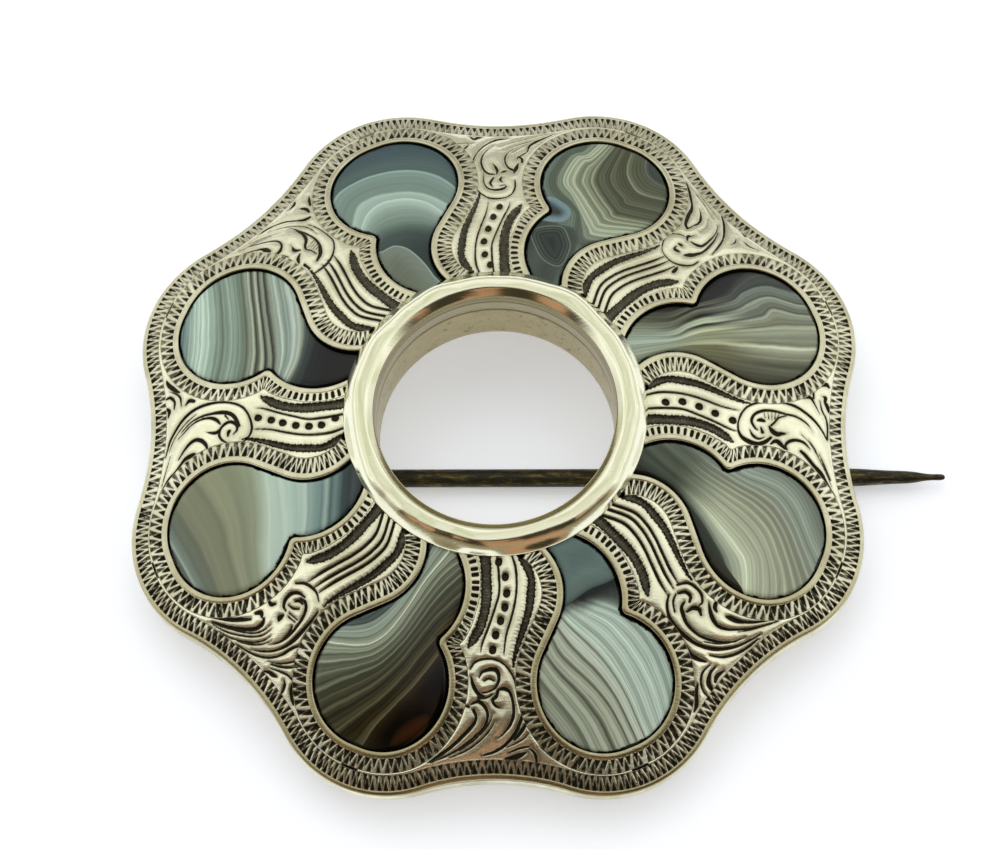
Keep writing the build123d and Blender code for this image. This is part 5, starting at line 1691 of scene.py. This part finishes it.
level = math.cos(ELEVATION)
back = Vector((math.sin(AZIMUTH) * level, -math.cos(AZIMUTH) * level, math.sin(ELEVATION)))
side = (-back).cross(Vector((0, 0, 1))).normalized()
above = side.cross(-back)
roll_c, roll_s = math.cos(ROLL), math.sin(ROLL)
side, above = roll_c * side + roll_s * above, -roll_s * side + roll_c * above
camera = bpy.data.objects.new("camera", bpy.data.cameras.new("camera"))
camera.data.lens = LENS
camera.data.sensor_width = 36
camera.data.sensor_fit = "HORIZONTAL"
camera.data.clip_start = 0.01
facing = Matrix((side, above, back)).transposed().to_4x4()
camera.matrix_world = Matrix.Translation((Vector(TARGET) + back * DISTANCE) * MM) @ facing
bpy.context.scene.collection.objects.link(camera)
bpy.context.scene.camera = camera

# Floor: a white sheet just under the pin, which glows a little, as bright as the photo's paper
FLOOR_Z = -3.25
FLOOR_HALF = 1200
FLOOR_WHITE = (0.79, 0.82, 0.91, 1)
FLOOR_GLOW = (0.97, 0.98, 1, 1)

corners = [(-1, -1), (1, -1), (1, 1), (-1, 1)]
floor_mesh = bpy.data.meshes.new("floor")
floor_mesh.from_pydata([(x * FLOOR_HALF * MM, y * FLOOR_HALF * MM, FLOOR_Z * MM) for x, y in corners], [],
                       [(0, 1, 2, 3)])
floor = bpy.data.objects.new("floor", floor_mesh)
bpy.context.scene.collection.objects.link(floor)
floor.data.materials.append(Finish("floor_paper").set(
    Base_Color=FLOOR_WHITE, Roughness=0.9, Emission_Color=FLOOR_GLOW, Emission_Strength=0.38))

# One soft lamp, high behind the brooch
LAMP_PLACE = (-0.1, 0.5, 0.7)
LAMP_SIZE = 0.8
LAMP_POWER = 1.8

lamp = bpy.data.lights.new("key_behind", "AREA")
lamp.size, lamp.energy = LAMP_SIZE, LAMP_POWER
key = bpy.data.objects.new("key_behind", lamp)
key.location = LAMP_PLACE
key.rotation_euler = Vector(LAMP_PLACE).to_track_quat("Z", "Y").to_euler()
key.visible_glossy = False
bpy.context.scene.collection.objects.link(key)

# Sky: bright above and behind, duller low behind, and a dark brown room on the viewer's side
ROOM_BROWN = (0.034, 0.030, 0.018)
ROOM_COPPER = (0.42, 0.24, 0.15)
TABLE_BROWN = (0.34, 0.29, 0.19)
TABLE_COPPER = (0.55, 0.32, 0.20)
SKY_WHITE = (1.0, 1.0, 1.0)
SKY_HAZE = (0.70, 0.73, 0.58)

world = bpy.data.worlds.new("studio")
bpy.context.scene.world = world
world.use_nodes = True
sky = Nodes(world.node_tree)
background = sky.tree.nodes.new("ShaderNodeBackground")
sky_out = sky.tree.nodes.new("ShaderNodeOutputWorld")
sky.tree.links.new(background.outputs[0], sky_out.inputs[0])
way = sky.node("TexCoord")
over, behind = sky.part(way, 2), sky.part(way, 1)
copper = sky.noise(way, 2.6).rise(0.54, 0.62)
haze = sky.noise(way, 4.5).rise(0.42, 0.66)
room = sky.mix(over.rise(0.12, 0.35), sky.mix(copper, TABLE_BROWN, TABLE_COPPER),
               sky.mix(copper, ROOM_BROWN, ROOM_COPPER))
open_sky = sky.mix(haze, SKY_WHITE, SKY_HAZE)
feed(sky.tree, background.inputs[0], sky.mix(behind.rise(-0.58, -0.18), room, open_sky))
dull = behind.rise(0.62, 0.97) * 0.4
feed(sky.tree, background.inputs[1], 0.85 + 0.3 * over.rise(0.1, 0.4) - 0.2 * over.rise(0.75, 0.93) - dull)

bpy.context.scene.view_settings.view_transform = "Standard"

bpy.context.view_layer.update()
